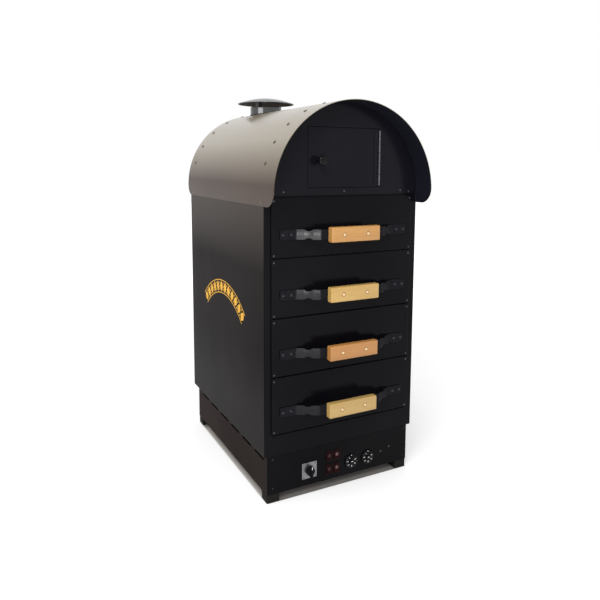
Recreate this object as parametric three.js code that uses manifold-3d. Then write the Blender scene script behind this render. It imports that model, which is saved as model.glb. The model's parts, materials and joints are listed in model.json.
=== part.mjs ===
// Potato baking oven: four drawers in a sheet-metal cabinet, on a plinth with the controls, under an arched
// hood that holds a warming compartment and carries the flue.
// Millimetres. X runs to the right, Y from the front to the rear, Z up.
import * as THREE from "three";
import { mergeVertices } from "three/addons/utils/BufferGeometryUtils.js";
import Module from "manifold-3d";

const wasm = await Module();
wasm.setup();

// Fits and sheet metal
const fit = 0.3; // gap between pieces that touch
const overrun = 5; // how far a cutting tool runs past what it cuts
const outerSheet = 1.5;
const innerSheet = 1.2;

// Cabinet
const bodyWidth = 500;
const bodyDepth = 650;
const drawerCount = 4;
const drawerPitch = 166;
const lowerRailHeight = 64;
const panelLip = 20;
const rearLip = 15;
const ledgeReach = 5;
const ledgeHeight = 3;
const ledgeDrop = 3;
const ledgeInset = 25; // from the cabinet's side to the ledge's end

// Plinth and feet
const footWidth = 40;
const footHeight = 24.7;
const footCorner = 5;
const plinthHeight = 116;
const plinthSideInset = 10;
const plinthFrontInset = 5;
const plinthRearInset = 22;
const plinthLip = 18;
const slotCount = 6;
const slotLength = 68;
const slotHeight = 6;
const firstSlot = 54.5; // from the plinth's front to the middle of the first slot
const lastSlot = 81; // from the middle of the last slot to the plinth's rear
const slotDrop = 17; // from the plinth's top to the slots' middle

// Controls, placed from the middle of the panel and from the plinth's lower edge
const neckRadius = 5;
const neckPlay = 0.5;
const spindleRadius = 3;
const spindlePlay = 0.35;
const spindleLength = 14;
const rotaryX = -105.5;
const rotaryHeight = 45;
const rotaryPlate = 48;
const rotaryPlateSheet = 1.5;
const rotaryBody = 40;
const rotaryDepth = 34;
const rotaryKnobRadius = 14;
const rotaryKnobReach = 18;
const rotaryBarWidth = 8;
const rotaryBarLength = 38;
const rotaryBarReach = 6;
const dialX = 65.5; // midway between the two dials
const dialPitch = 59;
const dialHeight = 40;
const dialRadius = 22;
const dialSkirt = 4;
const dialGripRadius = 8;
const dialGripReach = 5;
const dialSpindleLength = 7;
const thermostatWidth = 36;
const thermostatDepth = 28;
const rockerX = -27; // middle of the block of four
const rockerHeight = 52.5;
const rockerColumnPitch = 25.5;
const rockerRowPitch = 41;
const rockerWide = 18.8;
const rockerTall = 25.4;
const rockerSidePlay = 0.3;
const rockerEndPlay = 1.2;
const rockerSleeve = 0.8;
const rockerSleeveDepth = 20;
const bezelLip = 1.9;
const bezelReach = 1.7;
const rockerProud = 4.5; // how far a level rocker's ends stand in front of the panel
const rockerDish = 1.4; // how far its middle lies behind its ends
const rockerRear = 6;
const rockerPivotDepth = 2;
const rockerTilt = THREE.MathUtils.degToRad(7);

// Supply inside the plinth
const glandRadius = 10;
const glandBore = 5;
const glandFlangeRadius = 14;
const glandFlange = 8;
const glandInside = 14;
const glandFromSide = 90; // from the plinth's right side
const glandHeight = 38;
const terminalWidth = 80;
const terminalDepth = 24;
const terminalHeight = 22;
const terminalFromRear = 60;

// Oven chamber, racks and heating
const sideWool = 34.4;
const rearWool = 26.1;
const chamberFloorDrop = 20; // chamber floor below the lowest drawer
const chamberRoofDrop = 4; // chamber roof below the cabinet's top
const rackInset = 20;
const railReach = 15;
const uprightWidth = 25;
const heaterRadius = 4;
const heaterPlay = 0.4;
const heaterLift = 8;
const heaterSideGap = 62; // from the chamber's side to the element's middle line
const heaterFront = 80;
const heaterBend = 40;

// Drawers, heights above each drawer's lower edge
const drawerGap = 3;
const stileWidth = 21; // from the cabinet's side to the drawer front's edge
const frontDepth = 5.7;
const frontReturn = 30;
const traySideGap = 6;
const trayRearGap = 58.8;
const trayHeight = 105;
const trayLift = 22;
const openingPlay = 3.5;
const openingAbove = 14;

// Handles, drawn from the drawer's middle
const handleHeight = 62;
const fingerGap = 34; // from the drawer's face to the strap's back
const strapSheet = 4;
const strapHeight = 28;
const strapInset = 24; // from the drawer front's edge to the strap's end
const armRun = 56;
const strapFoot = 50;
const waistRadius = 16;
const waistDepth = 4.5;
const boltRadius = 5.5;
const boltHead = 3;
const innerBolt = 17; // from the arm's foot
const outerBolt = 42;
const gripLength = 155;
const gripHeight = 42;
const gripThickness = 22;
const gripEdge = 2;
const gripCorner = 3;

// Hood and gables
const hoodSheet = 1.5;
const hoodPlay = 0.5;
const springRise = 7.7; // the arch springs this far above the cabinet's top
const legLap = 26.3; // the hood's legs lap this far down the cabinet's sides
const hoodFrontOverhang = 70;
const hoodRearOverhang = 25;
const hoodFrontCorner = 45;
const hoodRearCorner = 35;
const gableFlange = 24;
const stopLap = 8;
const stopWidth = 20;
const stopHeight = 30;

// Warming door and its hinge
const doorSideGap = 135; // from the cabinet's side to the door, before its shift
const doorHeight = 165;
const doorShift = -3; // the door's middle from the hood's middle
const doorSill = 21.7; // the door's lower edge above the cabinet's top
const doorGap = 1.2;
const hingeInset = 4; // from the door's ends to the hinge's ends
const knuckleRadius = 3;
const knuckleCount = 5;
const knuckleGap = 0.4;
const pinRadius = 1.5;
const pinPlay = 0.4;
const leafWidth = 14;
const leafSheet = 1.2;
const knobRadius = 14;
const knobStem = 6;
const knobReach = 32;
const knobInset = 33;
const knobHeight = 74;

// Flue
const flueRadius = 55;
const flueWall = 1.5;
const flueFromRear = 66; // from the chamber's rear wall to the pipe's middle
const flueDip = 10; // the pipe ends this far below the chamber's roof
const flueCollarRadius = 70;
const flueRise = 23; // the pipe's rim above the ridge
const capGap = 10;
const capRadius = 100;
const capRise = 20;
const capSheet = 1.5;
const capLegWidth = 12;
const capLegSheet = 2;
const capLegDepth = 20;
const capLegCount = 3;

// Facets round a full circle
const archSteps = 44; // round the half circle of the hood
const largeSides = 32;
const mediumSides = 24;
const smallSides = 12;
const heaterSides = 6;
const heaterSteps = 52;
const capRings = 4;

// Levels and planes that follow from the sizes above
const halfBody = bodyWidth / 2;
const plinthBottom = footHeight + fit;
const plinthTop = plinthBottom + plinthHeight;
const bodyBottom = plinthTop + fit;
const lowestDrawer = bodyBottom + lowerRailHeight;
const bodyTop = lowestDrawer + drawerCount * drawerPitch;
const insideWidth = bodyWidth - 2 * (outerSheet + fit);
const frameBack = outerSheet + fit;
const backPanelRear = bodyDepth - outerSheet - fit;
const backPanelFront = backPanelRear - outerSheet;
const plinthWidth = bodyWidth - 2 * plinthSideInset;
const plinthRear = bodyDepth - plinthRearInset;
const shellFront = plinthFrontInset + outerSheet + fit;
const springLevel = bodyTop + springRise;
const hoodInner = halfBody + hoodPlay;
const hoodOuter = hoodInner + hoodSheet;
const eaveLevel = bodyTop - legLap;
const ridgeLevel = springLevel + hoodOuter;
const gableRadius = hoodInner - fit;
const shelfBottom = bodyTop + fit;
const chamberFloor = lowestDrawer - chamberFloorDrop;
const chamberRoof = bodyTop - chamberRoofDrop;
const ledgeWidth = bodyWidth - 2 * ledgeInset;
const chamberWidth = insideWidth - 2 * (sideWool + innerSheet + 2 * fit);
const chamberRear = backPanelFront - rearWool - 2 * fit;
const heaterSpan = chamberWidth - 2 * heaterSideGap;
const trayWidth = chamberWidth - 2 * traySideGap;
const trayDepth = chamberRear - innerSheet - trayRearGap;
const frontWidth = bodyWidth - 2 * stileWidth;
const strapCentre = frontWidth - 2 * (strapInset + strapFoot + armRun);
const doorWidth = bodyWidth - 2 * doorSideGap;
const glandX = plinthWidth / 2 - glandFromSide;
const slotPitch = (plinthRear - plinthFrontInset - firstSlot - lastSlot) / (slotCount - 1);
const flueSetBack = chamberRear - flueFromRear;
const flueHole = flueRadius + fit;
const hoodFront = -hoodFrontOverhang;
const hoodRear = bodyDepth + hoodRearOverhang;

const finish = (color, roughness, metalness) => new THREE.MeshStandardMaterial({ color, roughness, metalness });
const blackPaint = finish(0x141418, 0.42, 0.3);
const hoodPaint = finish(0x5a5650, 0.3, 0.7);
const drawerPaint = finish(0x15151b, 0.5, 0.2);
const bareSteel = finish(0x8d9094, 0.35, 0.9);
const brightPlate = finish(0xd9dbdd, 0.3, 0.8);
const blackStrap = finish(0x202026, 0.4, 0.6);
const blackPlastic = finish(0x101012, 0.45, 0);
const redPlastic = finish(0x8e1512, 0.3, 0);
const grayPlastic = finish(0x5b5d60, 0.6, 0);
const rubber = finish(0x1a1a1a, 0.9, 0);
const wool = finish(0xb9ae95, 0.95, 0);
const orangeWood = finish(0xde9f5f, 0.55, 0);
const yellowWood = finish(0xdeb96a, 0.55, 0);

/** Welds a closed geometry's shared corners and hands it over as a solid. */
function solidOf(geometry) {
  const bare = new THREE.BufferGeometry().setAttribute("position", geometry.getAttribute("position"));
  bare.setIndex(geometry.index);
  const welded = mergeVertices(bare);
  const vertProperties = welded.getAttribute("position").array;
  return new wasm.Manifold(new wasm.Mesh({ numProp: 3, vertProperties, triVerts: new Uint32Array(welded.index.array) }));
}

/** Turns a solid back into a geometry. */
function geometryOf(solid) {
  const { vertProperties, triVerts } = solid.getMesh();
  const geometry = new THREE.BufferGeometry();
  geometry.setAttribute("position", new THREE.BufferAttribute(vertProperties, 3));
  geometry.setIndex(new THREE.BufferAttribute(triVerts, 1));
  return geometry.toNonIndexed();
}

/** The first geometry with the others added. */
function join(first, ...others) {
  return geometryOf(others.reduce((sum, other) => sum.add(solidOf(other)), solidOf(first)));
}

/** The first geometry with the others taken away. */
function cut(first, ...tools) {
  return geometryOf(tools.reduce((rest, tool) => rest.subtract(solidOf(tool)), solidOf(first)));
}

/** A box between two opposite corners. */
function block([x0, y0, z0], [x1, y1, z1]) {
  const box = new THREE.BoxGeometry(x1 - x0, y1 - y0, z1 - z0);
  return box.translate((x0 + x1) / 2, (y0 + y1) / 2, (z0 + z1) / 2);
}

/** A shape drawn in X and Z, carried along Y. */
function alongY(shape, y0, y1, curveSegments = archSteps) {
  const slab = new THREE.ExtrudeGeometry(shape, { depth: y1 - y0, bevelEnabled: false, curveSegments });
  return slab.rotateX(Math.PI / 2).translate(0, y1, 0);
}

/** A shape drawn in Y and Z, carried along X. */
function alongX(shape, x0, x1, curveSegments = smallSides) {
  const slab = new THREE.ExtrudeGeometry(shape, { depth: x1 - x0, bevelEnabled: false, curveSegments });
  return slab.applyMatrix4(new THREE.Matrix4().set(0, 0, 1, x0, 1, 0, 0, 0, 0, 1, 0, 0, 0, 0, 0, 1));
}

/** A shape drawn in X and Y, carried up Z. */
function alongZ(shape, z0, z1, curveSegments = smallSides) {
  const slab = new THREE.ExtrudeGeometry(shape, { depth: z1 - z0, bevelEnabled: false, curveSegments });
  return slab.translate(0, 0, z0);
}

/** A round bar along Y. */
function barY(radius, x, z, y0, y1, sides = smallSides) {
  return new THREE.CylinderGeometry(radius, radius, y1 - y0, sides).translate(x, (y0 + y1) / 2, z);
}

/** A round bar along Z. */
function barZ(radius, x, y, z0, z1, sides = smallSides) {
  const bar = new THREE.CylinderGeometry(radius, radius, z1 - z0, sides).rotateX(Math.PI / 2);
  return bar.translate(x, y, (z0 + z1) / 2);
}

/** A turned form about Z, from [radius, height] pairs. */
function turned(profile, sides) {
  const points = profile.map(([radius, height]) => new THREE.Vector2(radius, height));
  return new THREE.LatheGeometry(points, sides).rotateX(Math.PI / 2);
}

/** A closed outline from a list of points. */
function outline(points) {
  return new THREE.Shape(points.map(([u, v]) => new THREE.Vector2(u, v)));
}

/** A rectangle about the origin with round corners. */
function roundRectangle(width, height, radius) {
  const [u, v] = [width / 2, height / 2];
  const shape = new THREE.Shape();
  shape.absarc(u - radius, v - radius, radius, 0, Math.PI / 2);
  shape.absarc(radius - u, v - radius, radius, Math.PI / 2, Math.PI);
  shape.absarc(radius - u, radius - v, radius, Math.PI, 1.5 * Math.PI);
  shape.absarc(u - radius, radius - v, radius, 1.5 * Math.PI, 2 * Math.PI);
  return shape;
}

/** Adds a named mesh to a group. */
function piece(group, name, geometry, material) {
  const mesh = new THREE.Mesh(geometry, material);
  mesh.name = name;
  group.add(mesh);
  return mesh;
}

/** A group at a place in its parent. */
function groupAt(parent, x, y, z) {
  const group = new THREE.Group();
  group.position.set(x, y, z);
  parent.add(group);
  return group;
}

/** Plinth shell with its slots, and the four feet under its corners. */
function addPlinth(oven) {
  const half = plinthWidth / 2;
  const floorTop = plinthBottom + outerSheet;
  const shell = block([-half, shellFront, plinthBottom], [half, plinthRear, plinthTop]);
  const hollow = block(
    [outerSheet - half, shellFront + outerSheet, floorTop],
    [half - outerSheet, plinthRear - outerSheet, plinthTop + overrun],
  );
  const mouth = block(
    [plinthLip - half, shellFront - overrun, floorTop],
    [half - plinthLip, shellFront + overrun, plinthTop + overrun],
  );
  const slotMiddle = plinthTop - slotDrop;
  const slots = Array.from({ length: slotCount }, (_, i) => {
    const y = plinthFrontInset + firstSlot + i * slotPitch;
    return block(
      [-half - overrun, y - slotLength / 2, slotMiddle - slotHeight / 2],
      [half + overrun, y + slotLength / 2, slotMiddle + slotHeight / 2],
    );
  });
  const glandHole = barY(
    glandRadius + fit, glandX, plinthBottom + glandHeight, plinthRear - overrun, plinthRear + overrun, mediumSides,
  );
  piece(oven, "plinth_shell", cut(shell, hollow, mouth, ...slots, glandHole), blackPaint);

  const fromMiddle = half - footWidth / 2;
  const rows = { front: plinthFrontInset + footWidth / 2, rear: plinthRear - footWidth / 2 };
  for (const [end, y] of Object.entries(rows)) {
    for (const [side, x] of Object.entries({ left: -fromMiddle, right: fromMiddle })) {
      const foot = groupAt(oven, x, y, 0);
      const footBlock = alongZ(roundRectangle(footWidth, footWidth, footCorner), 0, footHeight, 2);
      piece(foot, `foot_${end}_${side}`, footBlock, rubber);
    }
  }
}

/** Control panel with its cut-outs, and each control in a group of its own on the panel's face. */
function addControls(oven) {
  const half = plinthWidth / 2;
  const face = groupAt(oven, 0, plinthFrontInset, plinthBottom);
  const neckHole = (x, z) => barY(neckRadius + neckPlay, x, z, -overrun, overrun, mediumSides);
  const sleeveWide = rockerWide + 2 * (rockerSidePlay + rockerSleeve);
  const sleeveTall = rockerTall + 2 * (rockerEndPlay + rockerSleeve);
  const rockerPlaces = [1, -1].flatMap((row) =>
    [-1, 1].map((column) => [
      rockerX + (column * rockerColumnPitch) / 2,
      rockerHeight + (row * rockerRowPitch) / 2,
    ]),
  );
  const dialPlaces = [-1, 1].map((side) => [dialX + (side * dialPitch) / 2, dialHeight]);
  const windows = rockerPlaces.map(([x, z]) =>
    block(
      [x - sleeveWide / 2 - fit, -overrun, z - sleeveTall / 2 - fit],
      [x + sleeveWide / 2 + fit, overrun, z + sleeveTall / 2 + fit],
    ),
  );
  const plate = block([-half, 0, 0], [half, outerSheet, plinthHeight]);
  const holes = [[rotaryX, rotaryHeight], ...dialPlaces].map(([x, z]) => neckHole(x, z));
  piece(face, "control_panel", cut(plate, ...holes, ...windows), blackPaint);

  const rotary = groupAt(face, rotaryX, 0, rotaryHeight);
  const plateBack = -fit;
  const plateFront = plateBack - rotaryPlateSheet;
  const halfPlate = rotaryPlate / 2;
  const halfRotary = rotaryBody / 2;
  const bodyFront = outerSheet + fit;
  const selector = join(
    block([-halfPlate, plateFront, -halfPlate], [halfPlate, plateBack, halfPlate]),
    barY(neckRadius, 0, 0, plateBack - rotaryPlateSheet / 2, bodyFront + outerSheet, mediumSides),
    block([-halfRotary, bodyFront, -halfRotary], [halfRotary, bodyFront + rotaryDepth, halfRotary]),
    barY(spindleRadius, 0, 0, plateFront - spindleLength, bodyFront),
  );
  piece(rotary, "rotary_switch", selector, brightPlate);
  const knobBack = plateFront - fit;
  const knobFront = knobBack - rotaryKnobReach;
  const rotaryKnob = cut(
    join(
      barY(rotaryKnobRadius, 0, 0, knobFront + rotaryBarReach, knobBack, largeSides),
      block(
        [-rotaryBarWidth / 2, knobFront, -rotaryBarLength / 2],
        [rotaryBarWidth / 2, (knobFront + knobBack) / 2, rotaryBarLength / 2],
      ),
    ),
    barY(spindleRadius + spindlePlay, 0, 0, plateFront - spindleLength - spindlePlay, knobBack + overrun),
  );
  piece(rotary, "rotary_knob", rotaryKnob, blackPlastic);

  dialPlaces.forEach(([x, z], i) => {
    const place = groupAt(face, x, 0, z);
    const halfBox = thermostatWidth / 2;
    const thermostat = join(
      block([-halfBox, bodyFront, -halfBox], [halfBox, bodyFront + thermostatDepth, halfBox]),
      barY(neckRadius, 0, 0, -fit, bodyFront + outerSheet, mediumSides),
      barY(spindleRadius, 0, 0, -dialSpindleLength, 0),
    );
    piece(place, `thermostat_${i + 1}`, thermostat, bareSteel);
    const dialBack = -2 * fit;
    const gripFront = dialBack - dialSkirt - dialGripReach;
    const dial = cut(
      join(
        barY(dialRadius, 0, 0, dialBack - dialSkirt, dialBack, largeSides),
        barY(dialGripRadius, 0, 0, gripFront, dialBack - dialSkirt / 2, mediumSides),
      ),
      barY(spindleRadius + spindlePlay, 0, 0, -dialSpindleLength - spindlePlay, overrun),
    );
    piece(place, `thermostat_dial_${i + 1}`, dial, blackPlastic);
  });

  rockerPlaces.forEach(([x, z], i) => {
    const place = groupAt(face, x, 0, z);
    const [sleeveHalf, sleeveRise] = [sleeveWide / 2, sleeveTall / 2];
    const [cupHalf, cupRise] = [sleeveHalf - rockerSleeve, sleeveRise - rockerSleeve];
    const housing = cut(
      join(
        block([-sleeveHalf, -fit - bezelReach / 2, -sleeveRise], [sleeveHalf, rockerSleeveDepth, sleeveRise]),
        block(
          [-sleeveHalf - bezelLip, -fit - bezelReach, -sleeveRise - bezelLip],
          [sleeveHalf + bezelLip, -fit, sleeveRise + bezelLip],
        ),
      ),
      block([-cupHalf, -overrun, -cupRise], [cupHalf, rockerSleeveDepth - rockerSleeve, cupRise]),
    );
    piece(place, `rocker_housing_${i + 1}`, housing, blackPlastic);
    const pivot = groupAt(place, 0, rockerPivotDepth, 0);
    const rise = rockerTall / 2;
    const front = -rockerProud - rockerPivotDepth;
    const rear = rockerRear - rockerPivotDepth;
    const side = outline([[front, -rise], [rear, -rise], [rear, rise], [front, rise], [front + rockerDish, 0]]);
    const rocker = piece(pivot, `rocker_${i + 1}`, alongX(side, -rockerWide / 2, rockerWide / 2), redPlastic);
    rocker.rotation.x = -rockerTilt;
  });
}

/** Terminal block on the plinth's floor and the cable gland in its rear wall. */
function addSupply(oven) {
  const floorTop = plinthBottom + outerSheet + fit;
  const rear = plinthRear - outerSheet - terminalFromRear;
  const strip = block(
    [glandX - terminalWidth / 2, rear - terminalDepth, floorTop],
    [glandX + terminalWidth / 2, rear, floorTop + terminalHeight],
  );
  piece(oven, "terminal_block", strip, grayPlastic);
  const outside = plinthRear + fit;
  const gland = turned(
    [
      [glandBore, outside + glandFlange],
      [glandBore, plinthRear - glandInside],
      [glandRadius, plinthRear - glandInside],
      [glandRadius, outside],
      [glandFlangeRadius, outside],
      [glandFlangeRadius, outside + glandFlange],
      [glandBore, outside + glandFlange],
    ],
    mediumSides,
  ).rotateX(-Math.PI / 2);
  piece(groupAt(oven, glandX, 0, plinthBottom + glandHeight), "cable_gland", gland, blackPlastic);
}

/** Side panels, back, floor and the front frame with its drawer openings and ledge. */
function addCabinet(oven) {
  const sideProfile = (side) =>
    outline(
      [
        [halfBody, 0],
        [halfBody, bodyDepth],
        [halfBody - rearLip, bodyDepth],
        [halfBody - rearLip, bodyDepth - outerSheet],
        [halfBody - outerSheet, bodyDepth - outerSheet],
        [halfBody - outerSheet, frameBack + outerSheet],
        [halfBody - panelLip, frameBack + outerSheet],
        [halfBody - panelLip, frameBack],
        [halfBody - outerSheet, frameBack],
        [halfBody - outerSheet, 0],
      ].map(([x, y]) => [side * x, y]),
    );
  piece(oven, "side_panel_left", alongZ(sideProfile(-1), bodyBottom, bodyTop), blackPaint);
  piece(oven, "side_panel_right", alongZ(sideProfile(1), bodyBottom, bodyTop), blackPaint);

  const half = insideWidth / 2;
  const back = block([-half, backPanelFront, bodyBottom], [half, backPanelRear, bodyTop]);
  piece(oven, "back_panel", back, blackPaint);
  const floor = block(
    [-half, frameBack + outerSheet + fit, bodyBottom],
    [half, backPanelFront - fit, bodyBottom + outerSheet],
  );
  piece(oven, "body_floor", floor, bareSteel);

  const openingHalf = trayWidth / 2 + openingPlay;
  const openings = Array.from({ length: drawerCount }, (_, i) => {
    const bottom = lowestDrawer + i * drawerPitch + trayLift;
    return block(
      [-openingHalf, -overrun, bottom - openingPlay],
      [openingHalf, overrun, bottom + trayHeight + openingAbove],
    );
  });
  const ledgeTop = lowestDrawer - ledgeDrop;
  const ledge = block([-ledgeWidth / 2, -ledgeReach, ledgeTop - ledgeHeight], [ledgeWidth / 2, outerSheet, ledgeTop]);
  const plate = block([-half, 0, bodyBottom], [half, outerSheet, bodyTop]);
  piece(oven, "front_frame", join(cut(plate, ...openings), ledge), drawerPaint);
}

/** Oven chamber with its wool wrap, the two racks of rails and one heating element under each drawer. */
function addChamber(oven) {
  const half = chamberWidth / 2;
  const outer = half + innerSheet;
  const heaterLevels = Array.from({ length: drawerCount }, (_, i) => lowestDrawer + i * drawerPitch + heaterLift);
  const terminals = heaterLevels.flatMap((z) =>
    [-1, 1].map((side) =>
      barY(heaterRadius + heaterPlay, (side * heaterSpan) / 2, z, chamberRear - overrun, chamberRear + overrun),
    ),
  );
  const liner = cut(
    block([-outer, frameBack, chamberFloor], [outer, chamberRear, chamberRoof]),
    block(
      [-half, frameBack - overrun, chamberFloor + innerSheet],
      [half, chamberRear - innerSheet, chamberRoof - innerSheet],
    ),
    barZ(flueHole, 0, flueSetBack, chamberRoof - overrun, chamberRoof + overrun, largeSides),
    ...terminals,
  );
  piece(oven, "oven_chamber", liner, bareSteel);

  const wrapFront = frameBack + outerSheet + fit;
  const wrapRear = backPanelFront - fit;
  const [wrapOuter, wrapInner] = [insideWidth / 2 - fit, outer + fit];
  const wrap = outline([
    [-wrapOuter, wrapFront],
    [-wrapInner, wrapFront],
    [-wrapInner, chamberRear + fit],
    [wrapInner, chamberRear + fit],
    [wrapInner, wrapFront],
    [wrapOuter, wrapFront],
    [wrapOuter, wrapRear],
    [-wrapOuter, wrapRear],
  ]);
  piece(oven, "insulation_wrap", alongZ(wrap, bodyBottom + outerSheet + fit, chamberRoof), wool);

  const rackBottom = lowestDrawer + trayLift - fit - innerSheet;
  const rackTop = rackBottom + (drawerCount - 1) * drawerPitch + trayHeight;
  const rackRear = chamberRear - innerSheet - rackInset;
  const webOuter = half - fit;
  const uprightPlaces = [rackInset, (rackInset + rackRear - uprightWidth) / 2, rackRear - uprightWidth];
  const rack = join(
    ...uprightPlaces.map((y) => block([webOuter - innerSheet, y, rackBottom], [webOuter, y + uprightWidth, rackTop])),
    ...Array.from({ length: drawerCount }, (_, i) => {
      const z = rackBottom + i * drawerPitch;
      return block([webOuter - railReach, rackInset, z], [webOuter, rackRear, z + innerSheet]);
    }),
  );
  piece(oven, "runner_rack_right", rack, bareSteel);
  piece(oven, "runner_rack_left", rack.clone(), bareSteel).rotation.z = Math.PI;
  oven.getObjectByName("runner_rack_left").position.y = rackInset + rackRear;

  heaterLevels.forEach((z, i) => {
    const [reach, corner] = [heaterSpan / 2, heaterSpan / 2 - heaterBend];
    const bendStart = heaterFront + heaterBend;
    const route = new THREE.CurvePath();
    const point = (x, y) => new THREE.Vector3(x, y, z);
    route.add(new THREE.LineCurve3(point(-reach, chamberRear), point(-reach, bendStart)));
    route.add(new THREE.QuadraticBezierCurve3(
      point(-reach, bendStart), point(-reach, heaterFront), point(-corner, heaterFront),
    ));
    route.add(new THREE.LineCurve3(point(-corner, heaterFront), point(corner, heaterFront)));
    route.add(new THREE.QuadraticBezierCurve3(
      point(corner, heaterFront), point(reach, heaterFront), point(reach, bendStart),
    ));
    route.add(new THREE.LineCurve3(point(reach, bendStart), point(reach, chamberRear)));
    const section = new THREE.Shape();
    section.absarc(0, 0, heaterRadius, 0, 2 * Math.PI);
    const options = { steps: heaterSteps, extrudePath: route, curveSegments: heaterSides / 2 };
    piece(oven, `heating_element_${drawerCount - i}`, new THREE.ExtrudeGeometry(section, options), bareSteel);
  });
}

/** The outline of a gable: straight up from a level to the spring line, then half round. */
function gableOutline(radius, bottom) {
  const shape = new THREE.Shape();
  shape.moveTo(-radius, bottom);
  shape.lineTo(radius, bottom);
  shape.absarc(0, springLevel, radius, 0, Math.PI);
  return shape;
}

/** A gable plate with its flange bent back round the arch; the hollow side starts and ends at the given planes. */
function gablePan(y0, y1, hollowStart, hollowEnd) {
  const hollow = gableOutline(gableRadius - outerSheet, shelfBottom - overrun);
  return cut(alongY(gableOutline(gableRadius, shelfBottom), y0, y1), alongY(hollow, hollowStart, hollowEnd));
}

/** Arched sheet, both gables and the shelf that is the warming compartment's floor. */
function addHood(oven) {
  const arch = new THREE.Shape();
  arch.moveTo(hoodOuter, eaveLevel);
  arch.absarc(0, springLevel, hoodOuter, 0, Math.PI);
  arch.lineTo(-hoodOuter, eaveLevel);
  arch.lineTo(-hoodInner, eaveLevel);
  arch.absarc(0, springLevel, hoodInner, Math.PI, 0, true);
  arch.lineTo(hoodInner, eaveLevel);
  const cornerTool = (edge, radius, inward) => {
    const middle = edge + inward * radius;
    const shape = new THREE.Shape();
    shape.moveTo(middle, eaveLevel - overrun);
    shape.lineTo(middle, eaveLevel);
    shape.absarc(middle, eaveLevel + radius, radius, 1.5 * Math.PI, inward > 0 ? Math.PI : 2 * Math.PI, inward > 0);
    shape.lineTo(edge - inward * overrun, eaveLevel + radius);
    shape.lineTo(edge - inward * overrun, eaveLevel - overrun);
    return alongX(shape, -hoodOuter - overrun, hoodOuter + overrun);
  };
  const sheet = cut(
    alongY(arch, hoodFront, hoodRear),
    cornerTool(hoodFront, hoodFrontCorner, 1),
    cornerTool(hoodRear, hoodRearCorner, -1),
    barZ(flueHole, 0, flueSetBack, springLevel, ridgeLevel + overrun, largeSides),
  );
  piece(oven, "hood_sheet", sheet, hoodPaint);

  const door = doorEdges();
  const doorway = block(
    [door.left - doorGap, -overrun, door.bottom - doorGap],
    [door.right + doorGap, overrun, door.top + doorGap],
  );
  const stopBottom = (door.bottom + door.top - stopHeight) / 2;
  const stopFront = outerSheet + fit;
  const stopProfile = outline([
    [door.left - stopWidth, outerSheet / 2],
    [door.left - 2 * doorGap, outerSheet / 2],
    [door.left - 2 * doorGap, stopFront],
    [door.left + stopLap, stopFront],
    [door.left + stopLap, stopFront + outerSheet],
    [door.left - stopWidth, stopFront + outerSheet],
  ]);
  const front = cut(gablePan(0, gableFlange, outerSheet, gableFlange + overrun), doorway);
  piece(oven, "gable_front", join(front, alongZ(stopProfile, stopBottom, stopBottom + stopHeight)), drawerPaint);
  const rearStart = bodyDepth - gableFlange;
  const rear = gablePan(rearStart, bodyDepth, rearStart - overrun, bodyDepth - outerSheet);
  piece(oven, "gable_rear", rear, blackPaint);

  const shelf = cut(
    block([-insideWidth / 2, frameBack, shelfBottom], [insideWidth / 2, backPanelRear, shelfBottom + outerSheet]),
    barZ(flueHole, 0, flueSetBack, shelfBottom - overrun, shelfBottom + overrun, largeSides),
  );
  piece(oven, "warming_shelf", shelf, bareSteel);
}

/** The warming door's four edges. */
function doorEdges() {
  const bottom = bodyTop + doorSill;
  const [left, right] = [doorShift - doorWidth / 2, doorShift + doorWidth / 2];
  return { left, right, bottom, top: bottom + doorHeight };
}

/** Warming door, its long hinge at the right and its pull knob. */
function addDoor(oven) {
  const door = doorEdges();
  const axisX = door.right + doorGap / 2;
  const axisY = -fit - knuckleRadius;
  const [hingeBottom, hingeTop] = [door.bottom + hingeInset, door.top - hingeInset];
  const knuckle = (hingeTop - hingeBottom) / knuckleCount;
  const leafFront = -fit - leafSheet;
  const clear = knuckleRadius + knuckleGap;
  /** One leaf: a comb beside the axis, and a barrel on every second knuckle. */
  const leaf = (side, first, leafBack) => {
    const comb = [[axisX + side * (clear + leafWidth), hingeTop], [axisX + side * (clear + leafWidth), hingeBottom]];
    const barrels = [];
    comb.push([axisX + side * clear, hingeBottom]);
    for (let i = first; i < knuckleCount; i += 2) {
      const low = hingeBottom + i * knuckle + knuckleGap / 2;
      const high = low + knuckle - knuckleGap;
      const teeth = [[clear, low], [pinRadius, low], [pinRadius, high], [clear, high]];
      comb.push(...teeth.map(([out, z], k) => [axisX + side * out, k < 2 ? z + leafSheet : z - leafSheet]));
      barrels.push(barZ(knuckleRadius, axisX, axisY, low, high));
    }
    comb.push([axisX + side * clear, hingeTop]);
    return join(alongY(outline(comb), leafFront, leafBack), ...barrels);
  };
  const bore = barZ(pinRadius + pinPlay, axisX, axisY, hingeBottom - overrun, hingeTop + overrun);
  const panel = block([door.left, 0, door.bottom], [door.right, outerSheet, door.top]);
  piece(oven, "warming_door", join(cut(leaf(-1, 1, outerSheet / 2), bore), panel), drawerPaint);
  const pin = barZ(pinRadius, axisX, axisY, hingeBottom + knuckleGap, hingeTop - knuckleGap);
  piece(oven, "door_hinge", join(leaf(1, 0, -fit), pin), bareSteel);

  const knob = turned(
    [
      [0, fit],
      [knobStem, fit],
      [knobStem, knobReach / 2],
      [knobRadius, knobReach - knobRadius],
      [knobRadius, knobReach - knobStem],
      [knobRadius - knobStem / 2, knobReach],
      [0, knobReach],
    ],
    mediumSides,
  ).rotateX(Math.PI / 2);
  piece(groupAt(oven, door.left + knobInset, 0, door.bottom + knobHeight), "door_knob", knob, blackPlastic);
}

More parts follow.
